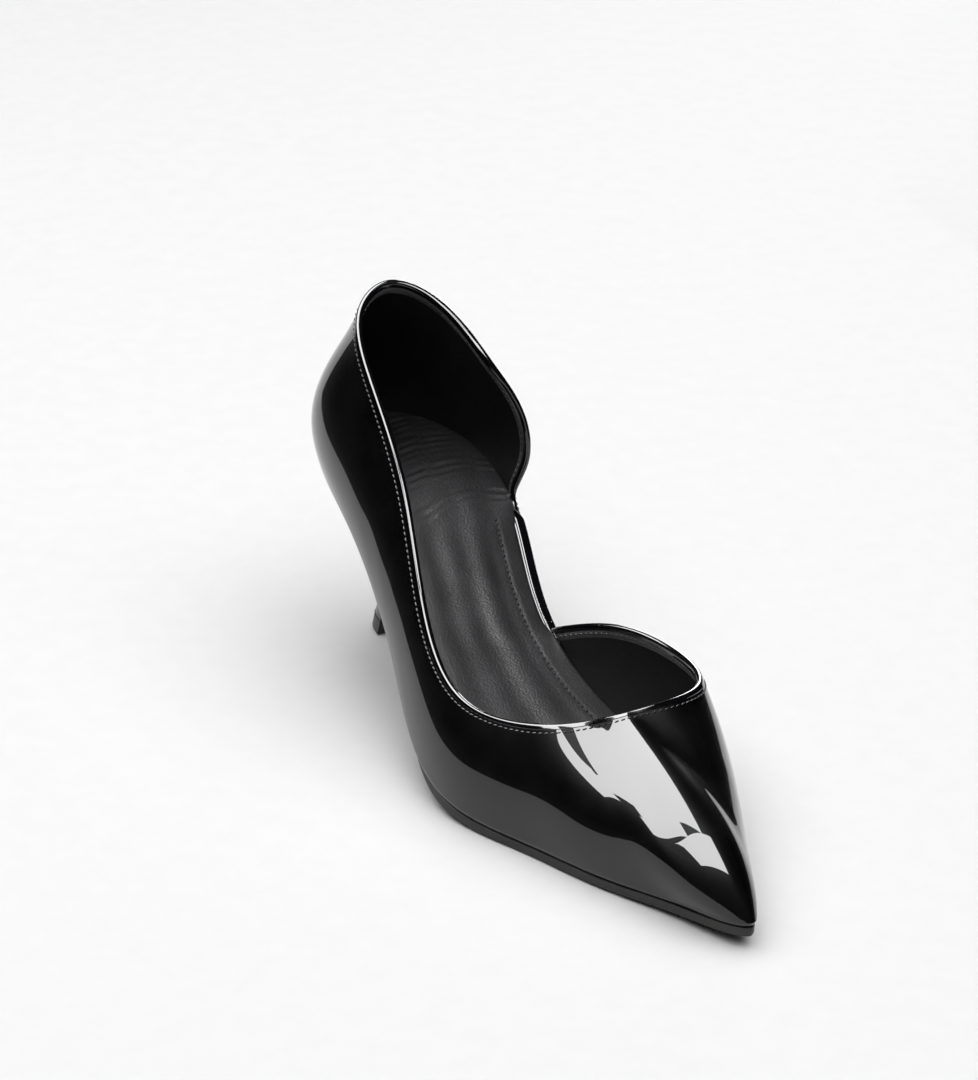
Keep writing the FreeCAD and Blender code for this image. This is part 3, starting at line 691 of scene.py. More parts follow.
@dataclass(frozen=True)
class Stitching:
    """A row of lock stitches: short thread loops that dip into the leather at both ends."""

    pitch: float = 2.0         # from one needle hole to the next, mm
    radius: float = 0.22       # of the thread, mm
    rise: float = 0.18         # how far a stitch stands over the leather at its middle, mm
    gap: float = 0.22          # share of the pitch taken up by the hole
    slant: float = 0.10        # sideways lean of each stitch, mm

    def run(self, builder: Builder, path: Array, out: Array) -> None:
        """Lay stitches along a path.

        Each stitch is a tube of six rings of six points whose middle line is the parabola
        rise·(1 − s²) over the leather, for s from −1 to 1 along the stitch.

        Args:
            builder: The piece that takes them.
            path: Points on the leather's face, one row each, closely spaced.
            out: Direction out of the leather at each point.
        """
        steps = np.linalg.norm(np.diff(path, axis=0), axis=1)
        run = np.concatenate([[0.0], np.cumsum(steps)])
        count = int(run[-1] / self.pitch)
        s = np.linspace(-1, 1, 6)
        middle = (np.arange(count) + 0.5) * self.pitch
        at = middle[:, None] + s * self.pitch * (1 - self.gap) / 2

        def read(values: Array) -> Array:
            """Return a per-point quantity read at the stitches' rings."""
            return np.stack([np.interp(at, run, values[:, k]) for k in range(3)], -1)

        normal = unit(read(out))
        line = read(path)
        along = unit(line[:, -1] - line[:, 0])[:, None, :]
        side = np.cross(normal, along)
        lift = self.rise * (1 - s * s) - self.radius * 0.6 * s ** 4
        line = line + normal * lift[:, None] + side * (self.slant * s)[:, None]
        turn = np.arange(6) * math.pi / 3
        girth = self.radius * np.sqrt(np.clip(1 - 0.75 * s ** 4, 0.1, 1))
        ring = (normal[:, :, None] * np.cos(turn)[:, None]
                + side[:, :, None] * np.sin(turn)[:, None]) * girth[:, None, None]
        rings = line[:, :, None] + ring
        single = quads(6, 6, around=True)
        ends = np.array([[0, 5, 4, 3], [0, 3, 2, 1], [30, 31, 32, 33], [30, 33, 34, 35]])
        faces = np.concatenate([single, ends])
        every = (faces[None] + np.arange(count)[:, None, None] * 36).reshape(-1, 4)
        builder.add(rings.reshape(-1, 3), every)


# ---- the upper ----------------------------------------------------------------------

@dataclass
class Upper:
    """Patent leather wall, its piping and stitches, and the lining inside."""

    spacing: float = 1.9         # between the wall's rows, mm
    down: int = 44               # columns from the top line to the feather line
    seam_groove: float = 0.45    # depth of the valley where the back seam pulls in, mm
    seam_reach: float = 1.6      # how far the valley reaches to each side, mm
    stitch_drop: float = 3.1     # topline stitches below the top line, mm
    facing_width: float = 4.6    # satin band inside the top line, mm
    swell: float = 0.015         # slow unevenness of the lasted leather, mm
    margin: list[tuple[float, float]] = field(default_factory=lambda: [
        (0.12, -0.35), (0.35, -0.9), (0.7, -1.3), (1.1, -1.6), (1.6, -1.8), (2.2, -1.85), (5.0, -1.85),
        (8.0, -1.85)])
    margin_back: list[tuple[float, float]] = field(default_factory=lambda: [
        (1.15, -0.15), (1.25, -0.35), (1.45, -0.55), (1.7, -0.7), (2.0, -0.88), (2.4, -0.95),
        (5.0, -0.95), (8.0, -0.95)])

    def columns(self, a: Array) -> Array:
        """Return values of b down the wall, finer near the piping and the feather line."""
        start = PIPING_DROP / LAST.wall_length(a)
        t = np.linspace(0, 1, self.down)
        share = t - 0.10 * np.sin(2 * math.pi * t) / math.pi
        return start[:, None] + (1 - start[:, None]) * share

    def skin(self, name: str, start: float, end: float, node: str) -> None:
        """Build one side of the outer leather: wall, turn over the feather edge and margin.

        Both faces are grids over a (along the top line) and b (down the wall), carried on
        under the insole by the margin's profile. The outer face sinks towards the back
        seam by groove·(1 − d/reach)², and swells slowly by two crossed ripples.

        Args:
            name: Name of the piece.
            start: First a.
            end: Last a.
            node: The CAD node it stands for.
        """
        a = LAST.rows(start, end, self.spacing)
        b = self.columns(a)
        top = LAST.top_curve(a)[:, 1:4]
        run = np.concatenate([[0.0], np.cumsum(np.linalg.norm(np.diff(top, axis=0), axis=1))])
        from_seam = run if start > 0 else run[-1] - run
        sink = self.seam_groove * np.clip(1 - from_seam / self.seam_reach, 0, 1) ** 2
        ends = ease(b, 0.02, 0.25) * (1 - ease(b, 0.9, 1.0))
        wave = ripple(run[:, None] / 38 + b * 1.3, 3) * ripple(b * 2.2 + run[:, None] / 160, 8)
        depth = sink[:, None] + self.swell * wave * ends
        grids = []
        for path, base in ((self.margin, 0.0), (self.margin_back, OUTER_LEATHER)):
            wall = LAST.layer(a[:, None], b, depth * (base == 0.0) + base)
            foot = LAST.wall(a, 1.0)
            turned = np.stack([LAST.under(foot, np.full(len(a), d), h) for d, h in path], 1)
            grids.append(np.concatenate([wall, turned], 1))
        builder = Builder(name)
        builder.shell(*grids)
        builder.finish(FINISHES.get(PATENT), "patent_leather", (node,))

    def topline(self) -> None:
        """Build the piping: a folded strip over the raw edges, with a flat lip each side.

        Its section is half an ellipse over the wall's middle, then 0.9 mm straight down
        on each side, just proud of the leather.
        """
        a = LAST.rows(0, 1, 1.3)
        point, into, up = LAST.wall_frame(a, PIPING_DROP / LAST.wall_length(a))
        turn = np.linspace(0, math.pi, 15)
        half = WALL / 2 + 0.15
        across = np.concatenate([[-half + 0.12, -half], -half * np.cos(turn), [half, half - 0.12]])
        rise = np.concatenate([[-1.0, -0.85], PIPING_DROP * np.sin(turn), [-0.85, -1.0]])
        lumps = 1 + 0.004 * ripple(a * 60, 5)
        middle = point + into * (WALL / 2)
        rings = (middle[:, None] + into[:, None] * (across[:, None] * lumps[:, None, None])
                 + up[:, None] * rise[:, None])
        builder = Builder("topline_binding")
        builder.tube(rings)
        builder.finish(FINISHES.get(PATENT_FOLD), "patent_leather", ("topline_piping",))

    def stitches(self) -> None:
        """Sew round the top line, outside through the patent and inside through the facing."""
        builder = Builder("topline_stitches")
        a = LAST.rows(0.004, 0.996, 0.8)
        point, into, _ = LAST.wall_frame(a, self.stitch_drop / LAST.wall_length(a))
        Stitching(pitch=2.0, radius=0.2, rise=0.12).run(builder, point, -into)
        Stitching(pitch=2.0, radius=0.18, rise=0.1).run(builder, point + into * (WALL + 0.12), into)
        builder.finish(FINISHES.get(THREAD), "patent_leather")

    def linings(self) -> None:
        """Build the two linings and the satin facing band along the top line."""
        for name, start, end, node in (
                ("vamp_lining_leather", 0.0, LAST.seam, "vamp_lining"),
                ("quarter_lining_leather", LAST.seam, 1.0, "quarter_lining")):
            a = LAST.rows(start, end, 3.0)
            length = LAST.wall_length(a)[:, None]
            t = np.linspace(0, 1, 30)
            b = PIPING_DROP / length + (1 - (PIPING_DROP + 1.0) / length) * t
            soft = 0.12 * ripple(a[:, None] * 26 + t * 2, 11) * np.sin(math.pi * t) ** 2
            inner = LAST.layer(a[:, None], b, WALL - 0.05 + 0.5 * soft)
            outer = LAST.layer(a[:, None], b, np.full_like(b, OUTER_LEATHER + REINFORCEMENT))
            builder = Builder(name)
            builder.shell(outer, inner)
            # The linings' near-zero black holds painted shade for the dark inside of the shoe.
            builder.finish(FINISHES.get(LINING_LEATHER_AND_SHADE), "lining_leather", (node,))
        a = LAST.rows(0, 1, 1.8)
        length = LAST.wall_length(a)[:, None]
        distance = PIPING_DROP + 1.1 + (self.facing_width - PIPING_DROP - 1.1) * np.linspace(0, 1, 7)
        edge = np.array([0.0, 0.12, 0.14, 0.14, 0.14, 0.11, 0.0])
        inner = LAST.layer(a[:, None], distance / length, np.broadcast_to(WALL + edge, (len(a), 7)))
        outer = LAST.layer(a[:, None], distance / length, np.full((len(a), 7), WALL - 0.1))
        builder = Builder("topline_facing")
        builder.shell(outer, inner)
        builder.finish(FINISHES.get(FACING), "lining_leather")

    def build(self) -> None:
        """Build every piece of the upper."""
        self.skin("patent_vamp", 0.0, LAST.back, "vamp")
        self.skin("patent_inner_quarter", LAST.back, 1.0, "inner_quarter")
        self.topline()
        self.stitches()
        self.linings()


# ---- footbed ------------------------------------------------------------------------

@dataclass
class Footbed:
    """Padded sock over foam, with its sewn channel and the wrapped edge at the open waist."""

    heel_u: float = 2.9          # where the sock starts behind
    toe_u: float = 245.5         # boards and pads stop short of the toe's tip
    split_u: float = 74.0        # heel cushion behind, forefoot cushion in front
    gap: float = 2.6             # from the feather line to the sock's edge, mm
    waist_gap: float = 4.4       # the same in the open waist
    stitch_inset: float = 10.9   # sewn channel in from the feather line, mm
    channel: float = 0.05        # depth of the sewn channel, mm
    crown: float = 0.7           # how much the sock swells between seam and middle, mm
    pad_gap: float = WALL + 0.5  # from the feather line to the foam's edge, mm
    pad_waist_gap: float = 9.4   # the same in the open waist
    pad_bottom: float = 1.85     # heights of the foam over the feather line, mm
    pad_top: float = PAD_TOP - 0.05

    def half_widths(self, u: Array, side: float, inset: Callable[[Array], Array]) -> Array:
        """Return w of the outline parallel to the feather line, on one side.

        Args:
            u: Stations along the shoe.
            side: 1 for the inner side, −1 for the outer.
            inset: Gives the distance in from the feather line at feather stations.

        Returns:
            w at each u.
        """
        stations = np.linspace(0, 12.0, 961) if side > 0 else np.linspace(24.0, 12.0, 961)
        points = LAST.outline(inset(stations % 24), stations)
        keep = np.maximum.accumulate(points[:, 0]) <= points[:, 0] + 1e-9
        return np.interp(u, points[keep, 0], points[keep, 1])

    def edge(self, stations: Array) -> Array:
        """Return the sock's inset: more in the open waist, where the patent strip shows."""
        waist = plateau(stations, (3.86, 4.02), (5.04, 5.26))
        return self.gap + (self.waist_gap - self.gap) * waist

    def pad_edge(self, stations: Array) -> Array:
        """Return the foam's inset: it stays clear of the wrapped edge in the open waist."""
        waist = plateau(stations, (3.4, 3.7), (5.5, 5.8))
        return self.pad_gap + (self.pad_waist_gap - self.pad_gap) * waist

    def seam_line(self, u: Array) -> Array:
        """Return w of the sewn channel, which follows the inner feather line."""
        return self.half_widths(u, 1, lambda stations: np.full_like(stations, self.stitch_inset))

    def relief(self, u: Array, w: Array, inner: Array, outer: Array) -> Array:
        """Return how far the sock's leather stands over its flat height.

        A crown (1 − |s|^2.6) between the edges, a sewn channel exp(−d²) beside the inner
        edge with a light ridge next to it, long soft folds along the foot, cross wrinkles
        at the heel, the dip that a heel presses in and a shallow valley down the middle.

        Args:
            u: Stations.
            w: Places across.
            inner: w of the inner edge at u.
            outer: w of the outer edge at u.

        Returns:
            Heights in mm.
        """
        share = (2 * w - inner - outer) / (inner - outer)
        crown = self.crown * (1 - np.abs(share) ** 2.6) - 0.35
        stations = np.arange(0, 250.0)
        past = np.interp(u, stations, self.seam_line(stations)) - w
        seam = (0.03 * np.exp(-((past + 1.5) / 0.7) ** 2)
                + 0.05 * np.exp(-((past - 2.2) / 1.6) ** 2)
                - self.channel * np.exp(-(past / 0.75) ** 2)) * plateau(u, (60, 74), (150, 172))
        folds = ripple(share * 2.1 + 0.002 * u, 21) * np.sin(math.pi * (share + 1) / 2)
        folds = 0.30 * folds * plateau(u, (40, 80), (190, 220))
        wrinkles = ripple(u / 3.2 + 0.8 * np.sin(w / 9), 31) * ripple(w / 15 + u / 60, 32)
        wrinkles = 0.10 * wrinkles * (1 - ease(u, 52, 72))
        seat = -0.5 * np.exp(-((u - 32) / 20) ** 2 - (w / 15) ** 2)
        valley = -0.35 * np.exp(-((share - 0.12) / 0.28) ** 2) * plateau(u, (75, 105), (165, 190))
        return crown + seam + folds + wrinkles + seat + valley

    def pad(self, name: str, start: float, end: float, node: str) -> None:
        """Build a foam cushion under the sock: a rounded slab that fits the outline.

        Its section is a superellipse, |cos|^0.22 across by |sin|^0.35 up.

        Args:
            name: Name of the piece.
            start: First u.
            end: Last u.
            node: The CAD node it stands for.
        """
        u = np.linspace(start, end, 60)
        inner = self.half_widths(u, 1, self.pad_edge)
        outer = self.half_widths(u, -1, self.pad_edge)
        turn = np.linspace(0, 2 * math.pi, 64, endpoint=False)
        cos, sin = np.cos(turn), np.sin(turn)
        flat = np.sign(cos) * np.abs(cos) ** 0.22
        rise = np.sign(sin) * np.abs(sin) ** 0.35
        w = (inner + outer)[:, None] / 2 + (inner - outer)[:, None] / 2 * flat * 0.995
        u = np.broadcast_to(u[:, None], w.shape)
        above = (self.pad_bottom + self.pad_top + (self.pad_top - self.pad_bottom) * rise) / 2
        builder = Builder(name)
        builder.tube(np.stack([u, w, LAST.height(u, np.broadcast_to(above, w.shape))], -1))
        builder.finish(FINISHES.get(FOAM), "foam", (node,))

    def sock(self) -> None:
        """Build the sock: a crowned closed form whose edge rolls down to the foam.

        Its section at each u is a grid over s from −1 to 1 across, s = 0.35·sin(πt/2) +
        0.65·t, so that columns gather at the edges. The top is `relief`, rolled down near
        the edges by a quarter ellipse; the underside lies flat on the foam.
        """
        run = (1 - np.cos(np.linspace(0, 1, 420) * math.pi)) / 2
        u = self.heel_u + (self.toe_u - self.heel_u) * run
        inner = self.half_widths(u, 1, self.edge)[:, None]
        outer = self.half_widths(u, -1, self.edge)[:, None]
        t = np.linspace(-1, 1, 150)
        s = 0.35 * np.sin(t * math.pi / 2) + 0.65 * t
        w = (inner + outer) / 2 + (inner - outer) / 2 * s
        u_grid = np.broadcast_to(u[:, None], w.shape)
        edge = np.minimum(inner - w, w - outer)
        roll = np.clip(edge / 1.2, 0, 1)
        ends = np.clip((u_grid - u[0]) / 1.5, 0, 1) * np.clip((u[-1] - u_grid) / 1.5, 0, 1)
        roll = np.sqrt(1 - (1 - roll) ** 2) * np.sqrt(np.clip(1 - (1 - ends) ** 2, 0, 1))
        top = SOCK_TOP + self.relief(u_grid, w, inner, outer)
        above = PAD_TOP + (top - PAD_TOP) * (0.12 + 0.88 * roll)
        upper = np.stack([u_grid, w, LAST.height(u_grid, above)], -1)
        lower = np.stack([u_grid, w, LAST.height(u_grid, np.full_like(w, PAD_TOP))], -1)
        builder = Builder("padded_sock")
        builder.shell(upper, lower)
        piece = builder.finish(FINISHES.get(SOCK_LEATHER), "sock_leather", ("sock_lining",))

    def sock_stitches(self) -> None:
        """Sew the channel that holds the sock down along the inner edge."""
        u = np.linspace(66, 160, 500)
        inner = self.half_widths(u, 1, self.edge)
        outer = self.half_widths(u, -1, self.edge)
        w = self.seam_line(u)
        above = SOCK_TOP + self.relief(u, w, inner, outer)
        path = np.stack([u, w, LAST.height(u, above)], -1)
        builder = Builder("sock_stitches")
        Stitching(pitch=2.1, radius=0.42, rise=0.0, gap=0.42).run(
            builder, path, LAST.seat_normal(u))
        # The channel's thread is painted black: painted shade of the sunk stitches and their holes.
        builder.finish(FINISHES.get(PAINTED_SHADE_THREAD), "sock_leather")

    def waist_wrap(self) -> None:
        """Build the patent strip folded round the insole's edge where the side is open.

        A profile of (inset, height) pairs is splined, ends in a straight tail under the
        insole, and is carried along the feather line. Its bead stands beside the sock.
        Small radial creases pinch it near the vamp's wing, and both ends tuck in under
        the upper.
        """
        stations = np.linspace(3.6, 5.55, 360)
        tuck = 2.3 * (1 - ease(stations, 3.72, 3.93) + ease(stations, 5.22, 5.45))
        foot, _ = LAST.feather(stations)
        crease = ripple(stations[:, None] * 34, 41, 7) * ease(stations, 4.55, 4.9)[:, None]
        top = PAD_TOP - 0.1
        outer = [(9.0, top), (4.7, top), (3.9, top + 0.5), (2.6, top + 0.72), (0.8, top + 0.15),
                 (0.05, 1.6), (0.0, 0.0), (0.35, -0.9), (1.1, -1.6)]
        inner = [(9.0, 2.4), (5.0, 2.4), (3.0, 2.4), (2.0, 2.35), (1.35, 1.95), (0.95, 1.2),
                 (0.92, 0.0), (1.25, -0.6), (1.7, -0.75)]
        tails = [(2.2, -1.85), (5.0, -1.85), (8.0, -1.85)], [(2.4, -0.95), (5.0, -0.95), (8.0, -0.95)]
        grids = []
        for poles, tail, pinch in ((outer, tails[0], 0.10), (inner, tails[1], 0.0)):
            bend = Spline(np.arange(len(poles)), poles)(np.linspace(0, len(poles) - 1, 40))
            profile = np.concatenate([bend, tail])
            face = np.exp(-((np.arange(len(profile)) - 15) / 9.0) ** 2)
            distance = profile[:, 0] + tuck[:, None]
            above = profile[:, 1] - pinch * np.abs(crease) * face
            spread = np.broadcast_to(foot[:, None], distance.shape + (3,))
            grids.append(LAST.under(spread, distance, above))
        builder = Builder("waist_wrap_leather")
        builder.shell(*grids)
        builder.finish(FINISHES.get(PATENT_FOLD), "patent_leather", ("waist_wrap",))

    def build(self) -> None:
        """Build the cushions, the sock, its stitches and the wrapped edge."""
        self.pad("heel_cushion_foam", 3.2, self.split_u, "heel_cushion")
        self.pad("forefoot_cushion_foam", self.split_u + 0.3, self.toe_u - 1, "forefoot_cushion")
        self.sock()
        self.sock_stitches()
        self.waist_wrap()


# ---- sole and heel ------------------------------------------------------------------

@dataclass
class Sole:
    """Thin outsole: a rounded edge, a scoured band along it and a recessed tread."""

    thickness: float = 3.05      # under the ball, mm
    waist_thickness: float = 2.2
    inset: float = 0.5           # edge inside the feather line, mm
    tuck: float = 2.2            # how much further in the edge runs along the waist, mm
    tread_edge: float = 3.4      # width of the flat rim round the tread, mm

    def low(self, u: Array) -> Array:
        """Return the underside's height over the feather line."""
        waist = self.thickness - self.waist_thickness
        return SOLE_JOINT - self.thickness + waist * (1 - ease(u, 90, 150))

    def ends(self) -> tuple[float, float]:
        """Return the feather stations, inner side then outer, where u is at the heel breast."""
        found = []
        for stations in (np.linspace(2, 6, 801), np.linspace(23, 18, 1001)):
            u = LAST.feather(stations)[0][:, 0]
            found.append(float(np.interp(HEEL_BREAST, u, stations)))
        return found[0], found[1]

    def build(self) -> None:
        """Build the outsole.

        Rings follow the feather line; each ring is one step of a section that runs from
        the joint, out over the rounded edge, under the rim and into the tread. Inside the
        tread, rings shrink towards the middle line, and so does the upper face.
        """
        foot, out = LAST.feather(np.linspace(*self.ends(), 560))
        middle = np.stack([foot[:, 0], middle_line(foot[:, 0])], -1)
        middle[:, 0] = np.clip(middle[:, 0], HEEL_BREAST, 232)
        edge = foot - out * (self.inset + self.tuck * (1 - ease(foot[:, :1], 105, 150)))
        low = self.low(edge[:, 0])
        # (share of the way from edge to middle line, inset in mm, height: 0 joint, 1 underside)
        rim, tread = self.tread_edge, self.tread_edge + 0.5
        section = [(0, 0.35, 0.0), (0, 0.1, 0.04), (0, 0.0, 0.12), (0, 0.0, 0.5), (0, 0.02, 0.82),
                   (0, 0.15, 0.93), (0, 0.45, 1.0), (0, 1.6, 1.0), (0, rim, 1.0),
                   (0, rim + 0.3, 0.97), (0, tread, 0.92)]
        section += [(share, tread, 0.92) for share in np.linspace(0.1, 1, 9)]
        section += [(share, 0.35, 0.0) for share in np.linspace(1, 0, 9)[1:-1]]
        rings = []
        for share, inset, drop in section:
            flat = edge[:, :2] - out[:, :2] * inset
            flat = flat + (middle - flat) * share
            flat[:, 0] = np.maximum(flat[:, 0], HEEL_BREAST)
            height = LAST.height(flat[:, 0], SOLE_JOINT + (low - SOLE_JOINT) * drop)
            rings.append(np.concatenate([flat, np.maximum(height, 0.0)[:, None]], 1))
        builder = Builder("outsole_rubber")
        builder.tube(np.stack(rings, 1))
        builder.finish(FINISHES.get(SOLE_RUBBER), "outsole_rubber", ("outsole",), sharp=40)


@dataclass
class Heel:
    """Slender flared heel: leather cover with a breast seam, and a top piece on the ground."""

    levels: int = 150            # rings up the heel
    around: int = 96             # points round the curved side
    breast: int = 24             # points across the flat front
    lap: float = 0.9             # width of the cover's lap on the breast, mm
    recess: float = 0.22         # how far the breast lies behind that lap, mm

    def ring(self, section: Array, skin: float, count: int) -> Array:
        """Return the curved side of heel sections, front corner to front corner.

        Each is a superellipse |sin|ᵠ + |cos|ᵠ = 1 between back and front, with a half
        width that narrows to the back; the exponent falls as the heel widens.

        Args:
            section: Rows of back u, z, front u, z and the two half widths.
            skin: Distance inside the outer face, mm.
            count: Points in a ring.

        Returns:
            Rings of points, sections by count by 3.
        """
        back_0, back_z, front_0, front_z, wide, narrow = (section[:, k:k + 1] for k in range(6))
        back, front = back_0 + skin, front_0 - skin
        wide, narrow = wide - skin, narrow - skin
        square = 3.4 - 1.2 * ease(wide, 7, 26)
        turn = np.linspace(0, math.pi, count)[None]
        s, c = np.sin(turn), np.cos(turn)
        r = (np.abs(s) ** square + np.abs(c) ** square) ** (-1 / square)
        u = front - (front - back) * r * s
        w = (wide + (narrow - wide) * r * s) * r * c
        share = (u - back_0) / (front_0 - back_0)
        return np.stack([u, w, back_z + (front_z - back_z) * share], -1)

    def sections(self, start: float, end: float, count: int) -> Array:
        """Return heel sections read from a spline through the table, by its index."""
        table = np.array(HEEL_SECTIONS, float)
        curve = Spline(np.linspace(0, 1, len(table)), table)
        return curve(np.linspace(start, end, count))

    def build(self) -> None:
        """Build the covered heel up to the seat, and the top piece."""
        rings = self.ring(self.sections(0.001, 1, self.levels), 0.0, self.around)
        t = np.linspace(0, 1, self.breast + 2)[1:-1][None, :, None]
        front = rings[:, -1:] + (rings[:, :1] - rings[:, -1:]) * t
        width = np.linalg.norm(rings[:, :1] - rings[:, -1:], axis=-1)[..., None]
        from_side = np.minimum(t, 1 - t) * width
        front[..., :1] -= self.recess * ease(from_side, self.lap, self.lap + 0.35)
        loops = np.concatenate([rings, front], 1)
        seat = LAST.height(loops[..., 0], np.full(loops.shape[:2], SOLE_JOINT))
        loops[..., 2] = np.clip(loops[..., 2], TOP_PIECE_HEIGHT, seat)
        builder = Builder("heel_cover_leather")
        builder.tube(loops)
        builder.finish(FINISHES.get(PATENT), "patent_leather", ("heel_cover",), sharp=50)
        self.top_piece()

    def top_piece(self) -> None:
        """Build the top piece: a short block with softened edges and a shallow tread."""
        joint = np.array([24.3, TOP_PIECE_HEIGHT, 34.35, TOP_PIECE_HEIGHT, 7.4, 6.25])
        tread = np.array([24.2, 0.0, 34.5, 0.0, 8.5, 7.3])
        # (share of the way down, inset): a hairline step at the joint, straight side, soft edge
        steps = [(0.0, 1.5), (0.0, 0.28), (0.05, 0.12), (0.1, 0.03), (0.5, 0.0), (0.9, 0.0),
                 (0.965, 0.12), (1.0, 0.45), (1.0, 1.0), (0.985, 1.25), (0.985, 2.4)]
        rings = []
        for share, inset in steps:
            section = (joint + (tread - joint) * share)[None]
            curved = self.ring(section, inset, 72)[0]
            t = np.linspace(0, 1, 20)[1:-1, None]
            front = curved[-1] + (curved[0] - curved[-1]) * t
            rings.append(np.concatenate([curved, front]))
        builder = Builder("top_piece_polyurethane")
        builder.tube(np.stack(rings))
        builder.finish(FINISHES.get(TOP_PIECE_PU), "top_piece_plastic", ("top_piece",), sharp=40)


def dress_inner_pieces() -> None:
    """Give each CAD piece that stays its finish."""
    for node, finish in INNER_FINISHES.items():
        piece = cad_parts[node]
        material = FINISHES.get(finish)
        if piece.material_slots:
            for place in piece.material_slots:
                place.material = material
        else:
            piece.data.materials.append(material)
        log.info("%s: %s", node, finish.name)


# ---- studio -------------------------------------------------------------------------

@dataclass
class Softbox:
    """A rectangular area light that points at a spot and may be turned about its own axis."""

    name: str
    place: tuple[float, float, float]
    size: tuple[float, float]    # m
    turn: float                  # radians
    power: float                 # W
    aim: tuple[float, float, float] | None = None    # straight down if not given
    in_gloss: bool = True
    in_diffuse: bool = False

    def build(self) -> None:
        """Add the light, turned towards its aim."""
        light = bpy.data.lights.new(self.name, "AREA")
        light.shape = "RECTANGLE"
        light.size, light.size_y = self.size
        light.energy = self.power
        lamp = hang(self.name, light)
        aim = self.aim or (self.place[0], self.place[1], 0.0)
        towards = (Vector(aim) - Vector(self.place)).to_track_quat("-Z", "Y")
        lamp.matrix_world = (Matrix.Translation(self.place) @ towards.to_matrix().to_4x4()
                             @ Matrix.Rotation(self.turn, 4, "Z"))
        lamp.visible_glossy = self.in_gloss
        lamp.visible_diffuse = self.in_diffuse


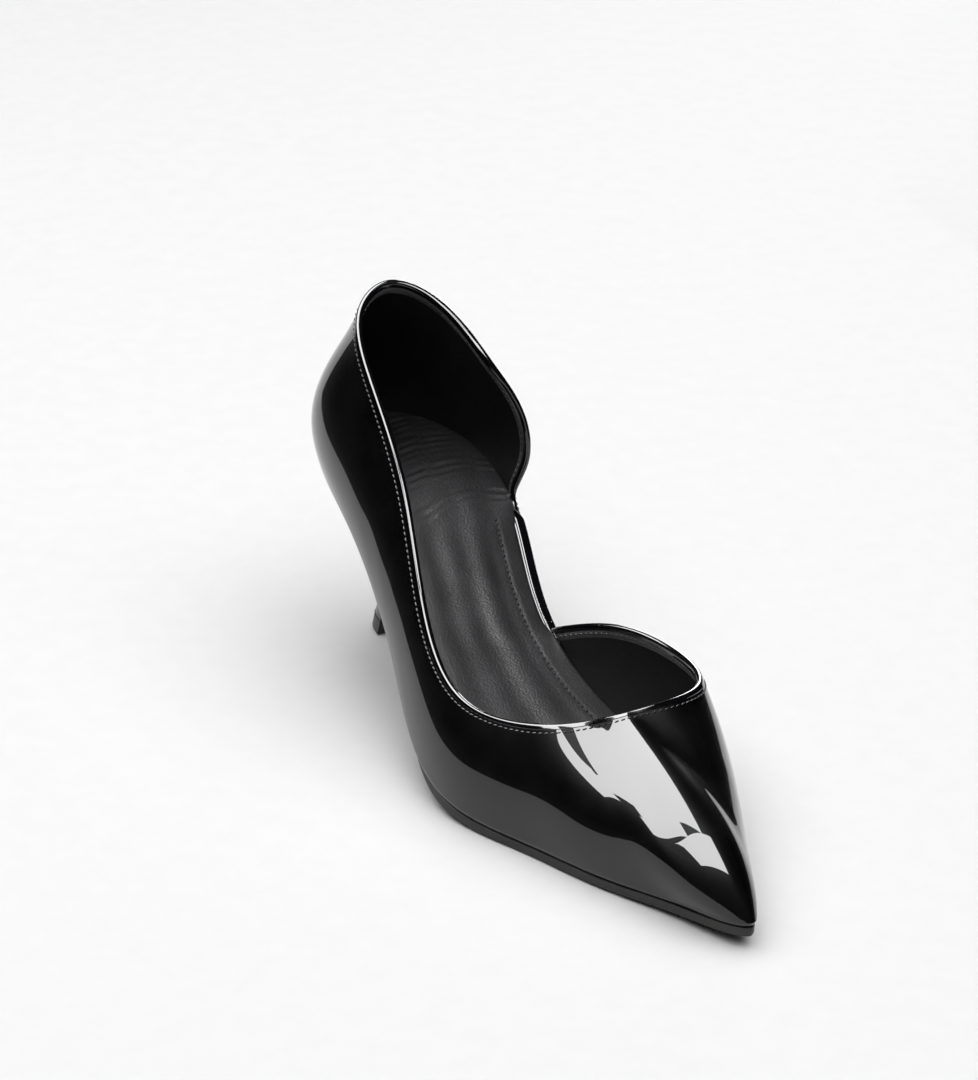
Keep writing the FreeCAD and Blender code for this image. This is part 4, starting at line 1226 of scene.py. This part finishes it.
@dataclass
class Studio:
    """Pale floor, soft lights and the camera."""

    floor_half: float = 3.0      # half the floor's side, m
    lens: float = 103.2          # mm, on a 36 mm sensor
    camera_place: tuple[float, float, float] = (-0.42675, -0.74349, 0.49763)
    yaw: float = 0.5057          # camera's heading, radians from +Y towards +X
    pitch: float = 0.4579        # downward
    roll: float = -0.0464

    def sheet(self, name: str, points: Array, finish: Finish) -> bpy.types.Object:
        """Return a staging sheet through a grid of points."""
        mesh = bpy.data.meshes.new(name)
        mesh.from_pydata(points.reshape(-1, 3).tolist(), [], quads(*points.shape[:2]).tolist())
        mesh.shade_smooth()
        mesh.materials.append(finish.build())
        piece = hang(name, mesh)
        return piece

    def floor(self) -> None:
        """Lay a matte paper floor just under the ground plane."""
        side = np.linspace(-self.floor_half, self.floor_half, 25)
        x, y = np.meshgrid(side, side, indexing="ij")
        # Seamless background paper: bright, fully matte, faint fibre.
        paper = Finish("background_paper", "#f3f3f3", "#f6f6f6", 0.9, Pattern.FIBRE, 3.0, 0.01)
        self.sheet("studio_floor", np.stack([x, y, np.full_like(x, -0.0004)], -1), paper)

    def flag(self, name: str, start: tuple[float, float], end: tuple[float, float],
             tall: float) -> None:
        """Stand a black card beside the shoe that only mirror-like surfaces see.

        Args:
            name: Its name.
            start: Place of one foot on the floor, m.
            end: Place of the other foot.
            tall: Its height, m.
        """
        share, rise = np.meshgrid(np.linspace(0, 1, 13), np.linspace(0, tall, 7), indexing="ij")
        foot = np.array(start) + (np.array(end) - np.array(start)) * share[..., None]
        # Black velvet on board: napped pile that swallows the light.
        velvet = Finish("black_velvet", "#020202", "#030303", 1.0, Pattern.FIBRE, 2.0, 0.02,
                        specular=0.0)
        card = self.sheet(name, np.concatenate([foot, rise[..., None]], -1), velvet)
        card.visible_camera = card.visible_diffuse = card.visible_shadow = False

    def lights(self) -> None:
        """Hang the softboxes and stand the flags."""
        boxes = [
            Softbox("overhead_fill", (0.0, 0.0, 2.4), (4.5, 4.5), 0.0, 112.0, in_gloss=False,
                    in_diffuse=True),
            Softbox("top_softbox", (-0.53, 0.62, 1.45), (1.43, 1.48), -0.42, 102.0),
            Softbox("front_softbox", (-0.76, -0.62, 1.45), (1.92, 0.72), -0.13, 67.0),
            Softbox("side_softbox", (-1.41, 0.05, 1.45), (0.75, 0.28), -0.42, 10.0),
            Softbox("back_softbox", (0.95, 1.05, 0.35), (0.7, 0.3), 0.0, 8.0,
                    aim=(0.0, 0.0, 0.05)),
        ]
        for box in boxes:
            box.build()
        self.flag("black_flag_outer_side", (-0.32, -0.30), (-0.16, 0.60), 0.22)
        self.flag("black_flag_inner_side", (0.30, -0.40), (0.42, 0.40), 0.25)

    def room(self) -> None:
        """Set the room behind: pale where the camera looks at it, dim as a light."""
        world = bpy.data.worlds.new("studio_room")
        world.use_nodes = True
        tree = world.node_tree
        dim = tree.nodes["Background"]
        dim.inputs["Color"].default_value = linear("#8c8c8e")
        dim.inputs["Strength"].default_value = 0.05
        pale = add_node(tree, "ShaderNodeBackground", {"Color": linear("#f2f2f2"), "Strength": 1.0})
        ray = add_node(tree, "ShaderNodeLightPath")
        mix = add_node(tree, "ShaderNodeMixShader", None,
                       {0: ray.outputs["Is Camera Ray"], 1: dim.outputs[0], 2: pale.outputs[0]})
        tree.links.new(mix.outputs[0], tree.nodes["World Output"].inputs["Surface"])
        bpy.context.scene.world = world
        bpy.context.scene.view_settings.view_transform = "Standard"

    def camera(self) -> None:
        """Place the camera from its heading, tilt and roll."""
        cy, sy = math.cos(self.yaw), math.sin(self.yaw)
        cp, sp = math.cos(self.pitch), math.sin(self.pitch)
        forward = Vector((sy * cp, cy * cp, -sp))
        level = Vector((cy, -sy, 0.0))
        down = forward.cross(level)
        right = level * math.cos(self.roll) + down * math.sin(self.roll)
        down = down * math.cos(self.roll) - level * math.sin(self.roll)
        lens = bpy.data.cameras.new("camera")
        lens.lens = self.lens
        lens.sensor_width = 36.0
        camera = hang("camera", lens)
        turn = Matrix((right, -down, -forward)).transposed().to_4x4()
        camera.matrix_world = Matrix.Translation(self.camera_place) @ turn
        bpy.context.scene.camera = camera

    def build(self) -> None:
        """Set up the studio."""
        self.floor()
        self.lights()
        self.room()
        self.camera()


def main() -> None:
    """Build the shoe's pieces, dress what stays of the CAD, and light the scene."""
    logging.basicConfig(level=logging.INFO, format="%(name)s: %(message)s")
    for part in (Upper(), Footbed(), Sole(), Heel()):
        part.build()
    dress_inner_pieces()
    Studio().build()
    bpy.context.view_layer.update()


if __name__ == "__main__":
    main()
